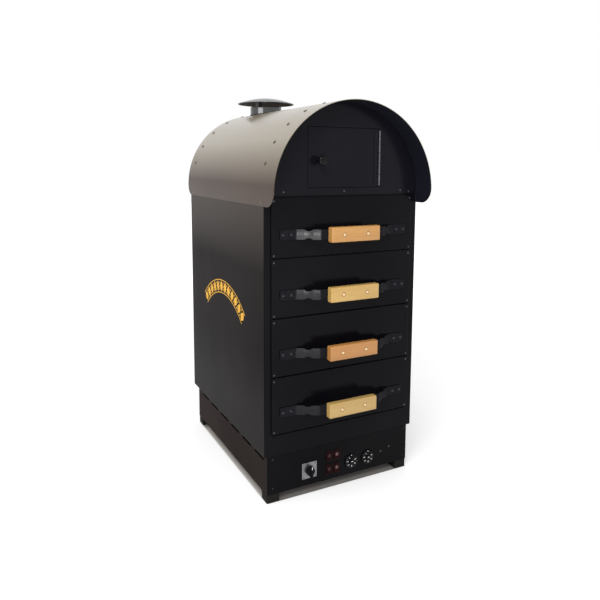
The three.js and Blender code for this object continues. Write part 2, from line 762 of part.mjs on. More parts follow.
/** Flue pipe on the chamber's roof, and its cap on three legs. */
function addFlue(oven) {
  const flue = groupAt(oven, 0, flueSetBack, 0);
  const bore = flueRadius - flueWall;
  const [rim, collar] = [ridgeLevel + flueRise, chamberRoof + fit];
  const pipe = turned(
    [
      [bore, rim],
      [bore, chamberRoof - flueDip],
      [flueRadius, chamberRoof - flueDip],
      [flueRadius, collar],
      [flueCollarRadius, collar],
      [flueCollarRadius, collar + flueWall],
      [flueRadius, collar + flueWall],
      [flueRadius, rim],
      [bore, rim],
    ],
    largeSides,
  );
  piece(flue, "flue_pipe", pipe, blackPaint);

  const capRim = rim + capGap;
  const domeHeight = (radius) => capRim + capRise * (1 - (radius / capRadius) ** 2);
  const under = Array.from({ length: capRings }, (_, i) => (capRadius * i) / capRings);
  const dome = turned(
    [
      ...under.map((radius) => [radius, domeHeight(radius)]),
      [capRadius, capRim],
      [capRadius, capRim + capSheet],
      ...under.reverse().map((radius) => [radius, domeHeight(radius) + capSheet]),
    ],
    largeSides,
  );
  const boreLimit = bore * Math.cos(Math.PI / largeSides) - fit;
  const legFace = Math.sqrt(boreLimit ** 2 - (capLegWidth / 2) ** 2);
  const legs = Array.from({ length: capLegCount }, (_, i) =>
    block(
      [-capLegWidth / 2, legFace - capLegSheet, rim - capLegDepth],
      [capLegWidth / 2, legFace, domeHeight(legFace) + capSheet / 2],
    ).rotateZ((i * 2 * Math.PI) / capLegCount),
  );
  piece(flue, "flue_cap", join(dome, ...legs), blackPaint);
}

/** A drawer's bent strap: feet on the face, arms with a waist, and a centre that carries the grip. */
function strapGeometry() {
  const face = -fit - frontDepth - fit;
  const [footFront, centreFront] = [face - strapSheet, -fit - frontDepth - fingerGap - strapSheet];
  const rise = footFront - centreFront;
  const angle = Math.atan2(rise, armRun);
  const shift = strapSheet * Math.tan(angle / 2);
  const [knee, centre] = [strapCentre / 2 + armRun, strapCentre / 2];
  const end = knee + strapFoot;
  const half = [
    [end, footFront],
    [end, footFront + strapSheet],
    [knee - shift, footFront + strapSheet],
    [centre - shift, centreFront + strapSheet],
  ];
  const mirrored = (points) => points.map(([x, y]) => [-x, y]).reverse();
  const frontLine = [[centre, centreFront], [knee, footFront]];
  const shape = outline([...half, ...mirrored(half), ...mirrored(frontLine), ...frontLine]);
  const strap = alongZ(shape, -strapHeight / 2, strapHeight / 2);
  const waists = [-1, 1].flatMap((side) =>
    [-1, 1].map((level) => {
      const tool = new THREE.CylinderGeometry(waistRadius, waistRadius, armRun, mediumSides);
      tool.rotateZ(side * angle);
      const z = level * (strapHeight / 2 + waistRadius - waistDepth);
      return tool.translate(side * (knee + centre) / 2, (footFront + centreFront) / 2, z);
    }),
  );
  const bolts = [-1, 1].flatMap((side) =>
    [innerBolt, outerBolt].map((along) =>
      barY(boltRadius, side * (knee + along), 0, footFront - boltHead, footFront + fit),
    ),
  );
  return join(cut(strap, ...waists), ...bolts);
}

/** One drawer: folded front, tray, handle strap and wooden grip. */
function addDrawer(oven, number) {
  const drawer = groupAt(oven, 0, 0, lowestDrawer + (drawerCount - number) * drawerPitch);
  const height = drawerPitch - drawerGap;
  const half = frontWidth / 2;
  const [face, back] = [-fit - frontDepth, -fit];
  const front = cut(
    block([-half, face, 0], [half, back, height]),
    block(
      [outerSheet - half, face + outerSheet, outerSheet],
      [half - outerSheet, back - innerSheet, height - outerSheet],
    ),
    block([frontReturn - half, face + outerSheet, frontReturn], [half - frontReturn, overrun, height - frontReturn]),
  );
  piece(drawer, `drawer_front_${number}`, front, drawerPaint);

  const trayHalf = trayWidth / 2;
  const tray = cut(
    block([-trayHalf, 0, trayLift], [trayHalf, trayDepth, trayLift + trayHeight]),
    block(
      [innerSheet - trayHalf, innerSheet, trayLift + innerSheet],
      [trayHalf - innerSheet, trayDepth - innerSheet, trayLift + trayHeight + overrun],
    ),
  );
  piece(drawer, `drawer_tray_${number}`, tray, bareSteel);

  const handle = groupAt(drawer, 0, 0, handleHeight);
  piece(handle, `handle_strap_${number}`, strapGeometry(), blackStrap);
  const gripBack = face - fingerGap - strapSheet - fit;
  const gripShape = roundRectangle(gripLength - 2 * gripEdge, gripHeight - 2 * gripEdge, gripCorner);
  const grip = new THREE.ExtrudeGeometry(gripShape, {
    depth: gripThickness - 2 * gripEdge,
    bevelThickness: gripEdge,
    bevelSize: gripEdge,
    bevelSegments: 2,
    curveSegments: 2,
  });
  grip.rotateX(Math.PI / 2).translate(0, gripBack - gripEdge, 0);
  piece(handle, `handle_grip_${number}`, grip, number % 2 ? orangeWood : yellowWood);
}

const oven = new THREE.Group();
oven.name = "potato_baking_oven";
oven.position.y = -(hoodFront + hoodRear) / 2;
addPlinth(oven);
addControls(oven);
addSupply(oven);
addCabinet(oven);
addChamber(oven);
addHood(oven);
addDoor(oven);
addFlue(oven);
for (let number = 1; number <= drawerCount; number += 1) addDrawer(oven, number);

export default oven;
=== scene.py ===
"""Potato baking oven: the looks of every piece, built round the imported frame.

Shapes are drawn in millimetres: X to the oven's right from its middle, Y to the rear from the cabinet's front face,
Z up from the floor. Shell.mesh turns them into the frame's metres.
"""

import json
import logging
import math
from collections.abc import Iterable, Sequence
from dataclasses import dataclass
from enum import Enum
from functools import lru_cache

import bmesh
import bpy
import numpy as np
from mathutils import Matrix, Vector

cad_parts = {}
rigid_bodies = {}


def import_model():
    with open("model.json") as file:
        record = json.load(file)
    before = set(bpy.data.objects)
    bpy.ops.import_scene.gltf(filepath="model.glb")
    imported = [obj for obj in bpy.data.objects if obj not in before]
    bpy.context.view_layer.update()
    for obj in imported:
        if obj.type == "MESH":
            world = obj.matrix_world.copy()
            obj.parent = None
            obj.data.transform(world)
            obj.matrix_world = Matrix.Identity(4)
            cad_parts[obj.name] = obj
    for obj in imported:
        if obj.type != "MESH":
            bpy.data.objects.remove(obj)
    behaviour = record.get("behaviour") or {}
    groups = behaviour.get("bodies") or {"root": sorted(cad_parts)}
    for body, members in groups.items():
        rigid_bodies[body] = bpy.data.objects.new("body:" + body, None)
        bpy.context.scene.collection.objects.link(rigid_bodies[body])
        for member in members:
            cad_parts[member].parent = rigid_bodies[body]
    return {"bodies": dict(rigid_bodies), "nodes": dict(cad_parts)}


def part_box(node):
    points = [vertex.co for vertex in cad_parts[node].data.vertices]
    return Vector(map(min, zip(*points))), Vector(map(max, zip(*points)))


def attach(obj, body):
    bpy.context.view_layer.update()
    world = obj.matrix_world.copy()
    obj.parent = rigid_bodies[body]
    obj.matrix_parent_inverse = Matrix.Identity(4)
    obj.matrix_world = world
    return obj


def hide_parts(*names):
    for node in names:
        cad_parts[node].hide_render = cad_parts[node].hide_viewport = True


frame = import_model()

LOG = logging.getLogger("oven")
MM = 0.001
WELD = 0.002 * MM
SHARP = math.radians(38)
FILM_LIFT = 0.05
X, Y, Z = np.eye(3)
ORIGIN = -302.5 * MM * Y  # the middle of the cabinet's front face, on the floor, in the frame

Pair = tuple[float, float]
Triple = tuple[float, float, float]
Profile = Sequence[Pair]


def clear_scene() -> None:
    """Removes Blender's own starting objects."""
    kept = {*frame["nodes"].values(), *frame["bodies"].values()}
    for item in set(bpy.data.objects) - kept:
        bpy.data.objects.remove(item)


clear_scene()
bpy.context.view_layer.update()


def at(x: float, y: float, z: float) -> np.ndarray:
    """A point or size in millimetres as an array."""
    return np.array([x, y, z], float)


def node_box(node: str) -> tuple[np.ndarray, np.ndarray]:
    """A CAD node's lowest and highest corner in millimetres from the cabinet's front face."""
    low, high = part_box(node)
    return (np.array(low) - ORIGIN) / MM, (np.array(high) - ORIGIN) / MM


def box_round(hub: np.ndarray, wide: float, tall: float, span: Pair) -> tuple[np.ndarray, np.ndarray]:
    """A box's lowest and highest corner: half its width and height round a hub, and its span along Y."""
    return hub + at(-wide, span[0], -tall), hub + at(wide, span[1], tall)


def mirrored(across: Iterable[float], y: float, levels: Iterable[float]) -> np.ndarray:
    """Places left and right of the middle, at each distance across and each level."""
    return np.array([at(side * x, y, z) for side in (-1, 1) for x in across for z in levels])


def rotation(axis: int, angle: float) -> np.ndarray:
    """The matrix of a turn about X, Y or Z: cosines on the two other axes, the sine with both signs between them.

    Args:
        axis: 0, 1 or 2 for X, Y or Z.
        angle: How far, in radians.

    Returns:
        The 3 by 3 matrix.
    """
    first, second = (axis + 1) % 3, (axis + 2) % 3
    matrix = np.eye(3)
    matrix[first, first] = matrix[second, second] = math.cos(angle)
    matrix[first, second], matrix[second, first] = -math.sin(angle), math.sin(angle)
    return matrix


# ==== Shader expressions ====


class Signal:
    """A shader socket that takes arithmetic: each operator adds a Math node."""

    def __init__(self, graph: "Graph", socket: bpy.types.NodeSocket) -> None:
        """Keeps the socket and the graph that new nodes go into."""
        self.graph = graph
        self.socket = socket

    def math(self, operation: str, *others: "Signal | float", first: "Signal | float | None" = None) -> "Signal":
        """Adds a Math node.

        Args:
            operation: The node's operation.
            others: The operands after this one.
            first: An operand that comes before this one, for the reflected operators.

        Returns:
            The node's result.
        """
        operands = [self, *others] if first is None else [first, self]
        return self.graph.node("ShaderNodeMath", {"operation": operation}, dict(enumerate(operands)))

    def __add__(self, other: "Signal | float") -> "Signal":
        """Sum."""
        return self.math("ADD", other)

    def __sub__(self, other: "Signal | float") -> "Signal":
        """Difference."""
        return self.math("SUBTRACT", other)

    def __rsub__(self, other: float) -> "Signal":
        """Difference with a number first."""
        return self.math("SUBTRACT", first=other)

    def __mul__(self, other: "Signal | float") -> "Signal":
        """Product."""
        return self.math("MULTIPLY", other)

    __radd__ = __add__
    __rmul__ = __mul__

    def at_most(self, limit: float) -> "Signal":
        """The smaller of this and a limit."""
        return self.math("MINIMUM", limit)

    def at_least(self, limit: float) -> "Signal":
        """The larger of this and a limit."""
        return self.math("MAXIMUM", limit)

    def between(self, low: float, high: float) -> "Signal":
        """0 below low, 1 above high, and straight in between."""
        return ((self - low) * (1 / (high - low))).at_least(0.0).at_most(1.0)


Value = Signal | float | Sequence[float]


class Graph:
    """The node tree of one material, built from expressions."""

    def __init__(self, tree: bpy.types.NodeTree) -> None:
        """Empties the tree and keeps it."""
        self.tree = tree
        tree.nodes.clear()

    def node(
        self, kind: str, settings: dict[str, object], inputs: dict[int | str, Value], output: int | str = 0
    ) -> Signal:
        """Adds one node.

        Args:
            kind: The node's type.
            settings: Its properties.
            inputs: Values or links of its sockets, by index or name.
            output: Which of its outputs is wanted.

        Returns:
            That output.
        """
        made = self.tree.nodes.new(kind)
        for name, value in settings.items():
            setattr(made, name, value)
        for key, value in inputs.items():
            self.feed(made.inputs[key], value)
        return Signal(self, made.outputs[output])

    def feed(self, socket: bpy.types.NodeSocket, value: Value) -> None:
        """Links a signal to a socket, or sets a plain value on it.

        Args:
            socket: The input.
            value: A signal, a number, or a colour or vector.
        """
        if isinstance(value, Signal):
            self.tree.links.new(value.socket, socket)
        elif isinstance(value, (int, float)):
            socket.default_value = value
        else:
            socket.default_value = (*value, 1.0)[: len(socket.default_value)]

    def coordinates(self, stretch: Triple = (1, 1, 1)) -> Signal:
        """Object coordinates in metres, stretched."""
        raw = self.node("ShaderNodeTexCoord", {}, {}, "Object")
        return self.node("ShaderNodeMapping", {}, {"Vector": raw, "Scale": stretch})

    def place(self, axis: str) -> Signal:
        """The X, Y or Z coordinate in metres."""
        raw = self.node("ShaderNodeTexCoord", {}, {}, "Object")
        return self.node("ShaderNodeSeparateXYZ", {}, {0: raw}, axis)

    def noise(self, scale: float, detail: float = 2.0, stretch: Triple = (1, 1, 1)) -> Signal:
        """Cloudy noise from 0 to 1, with scale features to the metre."""
        inputs = {"Vector": self.coordinates(stretch), "Scale": scale, "Detail": detail}
        return self.node("ShaderNodeTexNoise", {}, inputs)

    def cells(self, scale: float) -> Signal:
        """Distance to the middle of the nearest cell, for dimpled finishes."""
        inputs = {"Vector": self.coordinates(), "Scale": scale}
        return self.node("ShaderNodeTexVoronoi", {"feature": "SMOOTH_F1"}, inputs)

    def blend(self, share: Signal | float, first: Value, second: Value) -> Signal:
        """A colour between two others."""
        return self.node("ShaderNodeMix", {"data_type": "RGBA"}, {0: share, 6: first, 7: second}, 2)

    def bump(self, height: Signal, depth: float, strength: float = 1.0) -> Signal:
        """A normal from a height of 0 to 1 that stands for depth in metres."""
        return self.node("ShaderNodeBump", {}, {"Height": height, "Distance": depth, "Strength": strength})

    def surface(self, **sockets: Value) -> None:
        """Ends the tree in a Principled surface; underscores in the names stand for blanks."""
        named = {name.replace("_", " "): value for name, value in sockets.items()}
        self.end(self.node("ShaderNodeBsdfPrincipled", {}, named), "ShaderNodeOutputMaterial")

    def end(self, shader: Signal, kind: str) -> None:
        """Links a shader to the tree's output node of a kind."""
        made = self.tree.nodes.new(kind)
        self.tree.links.new(shader.socket, made.inputs["Surface"])


# ==== Finishes ====


class Slot(Enum):
    """The record's material slots."""

    BLACK_PAINT = "black_paint"
    HOOD_PAINT = "hood_paint"
    DRAWER_PAINT = "drawer_paint"
    BARE_STEEL = "bare_steel"
    BRIGHT_PLATE = "bright_plate"
    BLACK_STRAP = "black_strap"
    BLACK_PLASTIC = "black_plastic"
    RED_PLASTIC = "red_plastic"
    GRAY_PLASTIC = "gray_plastic"
    RUBBER = "rubber"
    WOOL = "wool"
    ORANGE_WOOD = "orange_wood"
    YELLOW_WOOD = "yellow_wood"


@dataclass(frozen=True)
class Finish:
    """What a surface is made of: its name, its slot in the record and its main colour."""

    name: str
    slot: Slot
    shade: Triple

    def draw(self, graph: Graph) -> None:
        """Draws the material's nodes."""
        raise NotImplementedError

    def tint(self, factor: float, lift: float = 0.0) -> Triple:
        """The main colour times a factor, plus a lift."""
        return tuple(min(1.0, part * factor + lift) for part in self.shade)


@lru_cache(maxsize=None)
def material_of(finish: Finish) -> bpy.types.Material:
    """Makes a finish's material once.

    Args:
        finish: What it shows.

    Returns:
        The material.
    """
    material = bpy.data.materials.new(finish.name)
    material.use_nodes = True
    finish.draw(Graph(material.node_tree))
    material.diffuse_color = (*finish.shade, 1.0)
    return material


@dataclass(frozen=True)
class Enamel(Finish):
    """Sprayed enamel on sheet: faint dusty clouds, smudges in the gloss, fine dimples and slow unevenness.

    The coat's weight goes from low over middle to high between the levels in fade, a painted sheen that is highest
    near the top, and there the colour takes on the top highlight's, a painted highlight. The depths of dimples and
    unevenness are in millimetres.
    """

    roughness: float = 0.3
    specular: float = 0.5
    coat: Triple = (0.0, 0.0, 0.0)
    fade: tuple[float, float, float, float] = (0.0, 0.01, 0.88, 1.02)
    coat_ior: float = 1.5
    top_highlight: Triple | None = None
    dimples: float = 0.02
    sway: float = 0.5

    def draw(self, graph: Graph) -> None:
        """Clouds in the colour, smudges in the roughness, dimples and unevenness in the normal.

        Args:
            graph: The material's tree.
        """
        cloud = graph.noise(3.0, 4.0)
        smudge = graph.noise(14.0, 3.0, (1.0, 1.0, 0.35))
        relief = graph.noise(380.0, 1.0) * self.dimples + graph.noise(5.0, 1.0) * self.sway
        sockets: dict[str, Value] = {
            "Base_Color": graph.blend(cloud.between(0.3, 0.8), self.shade, self.tint(1.5, 0.003)),
            "Roughness": self.roughness + (smudge - 0.5) * 0.1,
            "Specular_IOR_Level": self.specular,
            "Normal": graph.bump(relief, MM),
        }
        if any(self.coat):
            # painted sheen: the coat's weight follows the height
            low, middle, high = self.coat
            height = graph.place("Z")
            rise = height.between(*self.fade[2:])
            weight = low + height.between(*self.fade[:2]) * (middle - low) + rise * (high - middle)
            sockets |= {"Coat_Weight": weight, "Coat_Roughness": 0.25, "Coat_IOR": self.coat_ior}
            # painted highlight: towards the top the colour turns to the top highlight's
            if self.top_highlight:
                sockets["Base_Color"] = graph.blend(rise, sockets["Base_Color"], self.top_highlight)
        graph.surface(**sockets)


@dataclass(frozen=True)
class Steel(Finish):
    """Bare metal drawn in one direction: fine streaks in gloss and colour, and brown stains where it gets hot."""

    roughness: float = 0.3
    stretch: Triple = (0.02, 1.0, 1.0)
    stain: float = 0.0
    metal: float = 1.0

    def draw(self, graph: Graph) -> None:
        """Streaks in the roughness, stains in the colour.

        Args:
            graph: The material's tree.
        """
        streak = graph.noise(600.0, 2.0, self.stretch)
        patch = graph.noise(5.0, 4.0).between(0.45, 0.75) * self.stain
        brown = tuple(part * share for part, share in zip(self.shade, (0.55, 0.38, 0.22)))
        base = graph.blend(streak * 0.35, self.shade, self.tint(0.72))
        graph.surface(
            Base_Color=graph.blend(patch, base, brown),
            Roughness=self.roughness + (streak - 0.5) * 0.2,
            Metallic=self.metal,
            Normal=graph.bump(streak, 0.01 * MM, 0.5),
        )


@dataclass(frozen=True)
class HammeredPaint(Finish):
    """Hammer-effect paint: shallow dimples a few millimetres across in near-black paint.

    Its coat is a painted sheen: it lies only between the two places of the sheen span along X, with a soft end at
    each, and there is less of it the lower the drawer: the share goes up by each rise between that rise's two
    heights, from the least share.
    """

    cell: float = 300.0
    sheen_span: Pair = (-0.156, -0.101)
    soft: float = 0.004
    least: float = 0.17
    rises: tuple[Triple, ...] = ((0.2, 0.267, 0.6), (0.49, 0.6, 0.765))

    def draw(self, graph: Graph) -> None:
        """Dimples in the normal, paler on the ridges between them, and a painted sheen in the coat on the sheen span.

        Args:
            graph: The material's tree.
        """
        dimple = graph.cells(self.cell)
        start, end = self.sheen_span
        across, height = graph.place("X"), graph.place("Z")
        share: Signal | float = self.least
        for rise, low, high in self.rises:
            share = height.between(low, high) * rise + share
        # painted sheen: coat only on the strap's left arm, and less of it on the lower drawers
        middle = across.between(start - self.soft, start) * (1.0 - across.between(end, end + self.soft))
        gloss = middle * share
        graph.surface(
            Base_Color=graph.blend(dimple.between(0.1, 0.6), self.shade, self.tint(1.6, 0.002)),
            Roughness=0.3 + dimple * 0.12,
            Specular_IOR_Level=0.015,
            Coat_Weight=gloss * (0.8 + dimple * 0.5),
            Coat_Roughness=0.22,
            Coat_IOR=1.6,
            Normal=graph.bump(dimple, 0.55 * MM),
        )


@dataclass(frozen=True)
class Timber(Finish):
    """Varnished wood with its grain along X: slow bands, fine darker lines and short pores."""

    dark: Triple = (0.4, 0.2, 0.08)

    def draw(self, graph: Graph) -> None:
        """Bands and lines in the colour, pores in the normal.

        Args:
            graph: The material's tree.
        """
        band = graph.noise(34.0, 2.0, (0.12, 1.0, 1.0))
        line = graph.noise(420.0, 3.0, (0.03, 1.0, 1.0))
        pore = graph.noise(1300.0, 1.0, (0.04, 1.0, 1.0))
        share = band.between(0.35, 0.75) * 0.5 + line.between(0.45, 0.8) * 0.35
        graph.surface(
            Base_Color=graph.blend(share, self.shade, self.dark),
            Roughness=0.34 + line * 0.16,
            Coat_Weight=0.35,
            Coat_Roughness=0.22,
            Normal=graph.bump(pore, 0.04 * MM, 0.4),
        )


@dataclass(frozen=True)
class Moulding(Finish):
    """Moulded plastic or rubber: an even colour with a fine spark-eroded grain."""

    roughness: float = 0.4
    grain: float = 0.02 * MM
    coat: float = 0.0
    specular: float = 0.5

    def draw(self, graph: Graph) -> None:
        """Grain in the normal, slow clouds in colour and gloss.

        Args:
            graph: The material's tree.
        """
        cloud = graph.noise(45.0, 2.0)
        grain = graph.noise(1500.0, 1.0)
        graph.surface(
            Base_Color=graph.blend(cloud * 0.6, self.shade, self.tint(1.35, 0.002)),
            Roughness=self.roughness + (cloud - 0.5) * 0.1,
            Specular_IOR_Level=self.specular,
            Coat_Weight=self.coat,
            Coat_Roughness=0.08,
            Normal=graph.bump(grain, self.grain, 0.5),
        )


@dataclass(frozen=True)
class Fleece(Finish):
    """Mineral wool: matted fibres."""

    def draw(self, graph: Graph) -> None:
        """Fibres in colour and normal.

        Args:
            graph: The material's tree.
        """
        fibre = graph.noise(260.0, 6.0, (0.4, 1.0, 1.0))
        graph.surface(
            Base_Color=graph.blend(fibre, self.tint(0.6), self.shade),
            Roughness=0.95,
            Normal=graph.bump(fibre, 1.5 * MM, 0.9),
        )


@dataclass(frozen=True)
class Film(Finish):
    """Cut self-adhesive film: an even colour with a slight satin ripple."""

    def draw(self, graph: Graph) -> None:
        """Ripple in the normal and a little colour drift.

        Args:
            graph: The material's tree.
        """
        drift = graph.noise(24.0, 3.0)
        graph.surface(
            Base_Color=graph.blend(drift.between(0.3, 0.7), self.shade, self.tint(0.82)),
            Roughness=0.45 + drift * 0.1,
            Specular_IOR_Level=0.15,
            Normal=graph.bump(drift, 0.05 * MM, 0.4),
        )


# Painted sheen and highlight: the side sheets' coat and colour grow lighter towards the top.
SIDE_ENAMEL = Enamel(
    "side_enamel", Slot.BLACK_PAINT, (0.0065, 0.0048, 0.0048), 0.34, 0.01,
    (0.06, 0.0, 0.35), (0.25, 0.42, 0.66, 0.86), top_highlight=(0.026, 0.016, 0.011),
)
PLINTH_ENAMEL = Enamel("plinth_enamel", Slot.BLACK_PAINT, (0.012, 0.007, 0.006), 0.42, 0.01)
# Painted sheen and highlight: the hood's coat and colour grow lighter towards its crown.
HOOD_ENAMEL = Enamel(
    "hood_enamel", Slot.HOOD_PAINT, (0.040, 0.024, 0.016), 0.3, 0.05,
    (0.16, 0.16, 1.0), (0.0, 0.01, 0.90, 1.02), 2.2, (0.16, 0.123, 0.066),
)
LINING_ENAMEL = Enamel("lining_enamel", Slot.HOOD_PAINT, (0.006, 0.006, 0.011), 0.5, 0.12)
GABLE_ENAMEL = Enamel("gable_enamel", Slot.DRAWER_PAINT, (0.004, 0.004, 0.007), 0.2, 0.1)
FRONT_ENAMEL = Enamel("front_enamel", Slot.DRAWER_PAINT, (0.0022, 0.0019, 0.0031), 0.17, 0.064)
PANEL_ENAMEL = Enamel("panel_enamel", Slot.BLACK_PAINT, (0.002, 0.0018, 0.0025), 0.24, 0.05)
FLUE_ENAMEL = Enamel("flue_enamel", Slot.BLACK_PAINT, (0.012, 0.015, 0.016), 0.14, 0.9)
HINGE_ENAMEL = Enamel("hinge_enamel", Slot.BARE_STEEL, (0.03, 0.03, 0.036), 0.2, 1.0)
SOOT = Enamel("soot", Slot.BLACK_PAINT, (0.11, 0.098, 0.095), 0.9, 0.0)
RIVET_METAL = Steel("rivet_metal", Slot.HOOD_PAINT, (0.10, 0.075, 0.055), 0.34)
CHAMBER_STEEL = Steel("chamber_steel", Slot.BARE_STEEL, (0.42, 0.40, 0.38), 0.34, (1.0, 0.02, 1.0), 0.8)
TRAY_STEEL = Steel("tray_steel", Slot.BARE_STEEL, (0.5, 0.49, 0.48), 0.42, (1.0, 0.02, 1.0), 0.35, 0.4)
ELEMENT_STEEL = Steel("element_steel", Slot.BARE_STEEL, (0.12, 0.1, 0.09), 0.45, (1.0, 0.1, 1.0), 0.9)
ZINC = Steel("zinc", Slot.BARE_STEEL, (0.62, 0.62, 0.62), 0.26)
DULL_ZINC = Steel("dull_zinc", Slot.BARE_STEEL, (0.10, 0.10, 0.11), 0.35)
BRASS = Steel("brass", Slot.BARE_STEEL, (0.86, 0.62, 0.36), 0.24)
PLATE_ALUMINIUM = Steel("plate_aluminium", Slot.BRIGHT_PLATE, (0.25, 0.25, 0.26), 0.42)
STRAP_PAINT = HammeredPaint("strap_paint", Slot.BLACK_STRAP, (0.008, 0.008, 0.010))
BOLT_ENAMEL = Enamel("bolt_enamel", Slot.BLACK_STRAP, (0.008, 0.008, 0.009), 0.1, 0.3)
KNOB_PLASTIC = Moulding("knob_plastic", Slot.BLACK_PLASTIC, (0.003, 0.003, 0.004), 0.3, specular=0.07)
PULL_PLASTIC = Moulding("pull_plastic", Slot.BLACK_PLASTIC, (0.003, 0.003, 0.004), 0.1, specular=0.14)
BEZEL_PLASTIC = Moulding("bezel_plastic", Slot.BLACK_PLASTIC, (0.006, 0.002, 0.002), 0.42, specular=0.08)
RED_PLASTIC = Moulding("red_plastic", Slot.RED_PLASTIC, (0.010, 0.0015, 0.002), 0.3, specular=0.05)
# Painted highlight: a brighter red for the right column of rockers, and pale and dim discs that paint the highlight
# in each rocker's hollow.
HIGHLIT_RED_PLASTIC = Moulding("lit_red_plastic", Slot.RED_PLASTIC, (0.012, 0.0015, 0.0015), 0.3, specular=0.05)
DIM_HIGHLIGHT_DISC = Moulding("dim_lens", Slot.RED_PLASTIC, (0.036, 0.013, 0.015), 0.5, specular=0.15)
PALE_HIGHLIGHT_DISC = Moulding("lens_plastic", Slot.RED_PLASTIC, (0.105, 0.06, 0.058), 0.5, specular=0.25)
LAMP_PLASTIC = Moulding("lamp_plastic", Slot.RED_PLASTIC, (0.014, 0.010, 0.010), 0.15, specular=0.3)
TERMINAL_PLASTIC = Moulding("terminal_plastic", Slot.GRAY_PLASTIC, (0.16, 0.165, 0.17), 0.6)
FOOT_RUBBER = Moulding("foot_rubber", Slot.RUBBER, (0.010, 0.009, 0.008), 0.75, 0.06 * MM, specular=0.1)
MARK_WHITE = Film("mark_white", Slot.BLACK_PLASTIC, (0.78, 0.8, 0.8))
MARK_BLACK = Film("mark_black", Slot.BLACK_PLASTIC, (0.01, 0.01, 0.011))
# Painted shade: the dark rings round the grip screws.
RECESS_SHADE_BROWN = Film("mark_brown", Slot.ORANGE_WOOD, (0.16, 0.07, 0.03))
GOLD_FILM = Film("gold_film", Slot.BRIGHT_PLATE, (0.80, 0.42, 0.03))
ORANGE_WOOD = Timber("orange_wood", Slot.ORANGE_WOOD, (0.52, 0.265, 0.075), (0.34, 0.145, 0.036))
YELLOW_WOOD = Timber("yellow_wood", Slot.YELLOW_WOOD, (0.55, 0.355, 0.112), (0.42, 0.23, 0.052))
# Painted shade: darker copies of the orange and yellow wood for the lower two grips, where less light falls.
ORANGE_WOOD_SHADED = Timber("brown_wood", Slot.ORANGE_WOOD, (0.465, 0.212, 0.056), (0.30, 0.12, 0.027))
YELLOW_WOOD_SHADED = Timber("pale_wood", Slot.YELLOW_WOOD, (0.48, 0.315, 0.105), (0.36, 0.205, 0.05))
WOOL = Fleece("wool", Slot.WOOL, (0.48, 0.42, 0.30))


# ==== Surfaces ====


class Shell:
    """Points and faces of one piece while it is put together."""

    def __init__(self) -> None:
        """Starts with nothing."""
        self.points: list[np.ndarray] = []
        self.faces: list[list[int]] = []
        self.count = 0

    def add(self, points: np.ndarray, faces: np.ndarray | Iterable[Sequence[int]]) -> "Shell":
        """Adds loose points and the faces among them.

        Args:
            points: Array [n, 3].
            faces: Index lists, counted from the first of these points.

        Returns:
            This shell.
        """
        flat = points.reshape(-1, 3)
        self.faces += [[index + self.count for index in face] for face in faces]
        self.points.append(flat)
        self.count += len(flat)
        return self

    def grid(
        self, points: np.ndarray, around: bool = True, along: bool = False, caps: tuple[bool, bool] = (True, True)
    ) -> "Shell":
        """Adds a surface from a grid of points: each square of neighbours is one face.

        Args:
            points: Array [rings, columns, 3].
            around: Whether the last column joins the first.
            along: Whether the last ring joins the first.
            caps: Whether the first and the last ring get a flat face of their own.

        Returns:
            This shell.
        """
        rings, columns = points.shape[:2]
        index = np.arange(rings * columns).reshape(rings, columns)
        ends = [index[0].tolist()[::-1], index[-1].tolist()]
        if around:
            index = np.concatenate([index, index[:, :1]], axis=1)
        if along:
            index = np.concatenate([index, index[:1]], axis=0)
        corners = [index[:-1, :-1], index[:-1, 1:], index[1:, 1:], index[1:, :-1]]
        faces = np.stack(corners, axis=-1).reshape(-1, 4).tolist()
        return self.add(points, faces + [end for end, wanted in zip(ends, caps) if wanted])

    def grids(self, stack: np.ndarray, caps: tuple[bool, bool] = (True, True)) -> "Shell":
        """Adds several grids [n, rings, columns, 3], each closed round its columns.

        Args:
            stack: Array [n, rings, columns, 3].
            caps: Whether the first and the last ring of each get a flat face.

        Returns:
            This shell.
        """
        for points in stack:
            self.grid(points, caps=caps)
        return self

    def mesh(self, name: str) -> bpy.types.Mesh:
        """The mesh in metres: doubles merged, faces turned outwards, all smooth but the edges.

        Args:
            name: The mesh's name.

        Returns:
            The mesh.
        """
        mesh = bpy.data.meshes.new(name)
        mesh.from_pydata((np.concatenate(self.points) * MM + ORIGIN).tolist(), [], self.faces)
        work = bmesh.new()
        work.from_mesh(mesh)
        bmesh.ops.remove_doubles(work, verts=work.verts, dist=WELD)
        bmesh.ops.recalc_face_normals(work, faces=work.faces)
        work.to_mesh(mesh)
        work.free()
        mesh.shade_smooth()
        mesh.set_sharp_from_angle(angle=SHARP)
        return mesh


def corner_turns(steps: int) -> tuple[np.ndarray, np.ndarray]:
    """The angles round a rounded rectangle, steps + 1 for each corner, and the signs of the corner each is at."""
    turn = np.arange(4)[:, None] * (np.pi / 2) + np.linspace(0, np.pi / 2, steps + 1)
    return turn.ravel(), np.repeat([[1, 1], [-1, 1], [-1, -1], [1, -1]], steps + 1, axis=0)


def rings(low: np.ndarray, high: np.ndarray, axis: int, corner: float, profile: Profile) -> np.ndarray:
    """Rounded rectangles stacked along an axis.

    Each profile point (inset, place) gives one ring: the box's outline seen along the axis, shrunk by the inset,
    with its corner radius shrunk as much, at that place. A corner's points are its centre plus its radius times
    (cos a, sin a).

    Args:
        low: The box's lowest corner.
        high: Its highest corner.
        axis: Which axis the rings are stacked along.
        corner: The outline's corner radius.
        profile: The rings' insets and places.

    Returns:
        Array [rings, points, 3].
    """
    inset, depth = np.array(profile, float).T
    turn, signs = corner_turns(6)
    radius = np.maximum(corner - inset, 0.02)[:, None]
    out = np.empty((len(inset), len(turn), 3))
    out[:, :, axis] = depth[:, None]
    for side, sign, wave in zip([(axis + 1) % 3, (axis + 2) % 3], signs.T, (np.cos(turn), np.sin(turn))):
        middle, half = (low[side] + high[side]) / 2, (high[side] - low[side]) / 2
        out[:, :, side] = middle + sign * (half - inset[:, None] - radius) + radius * wave
    return out


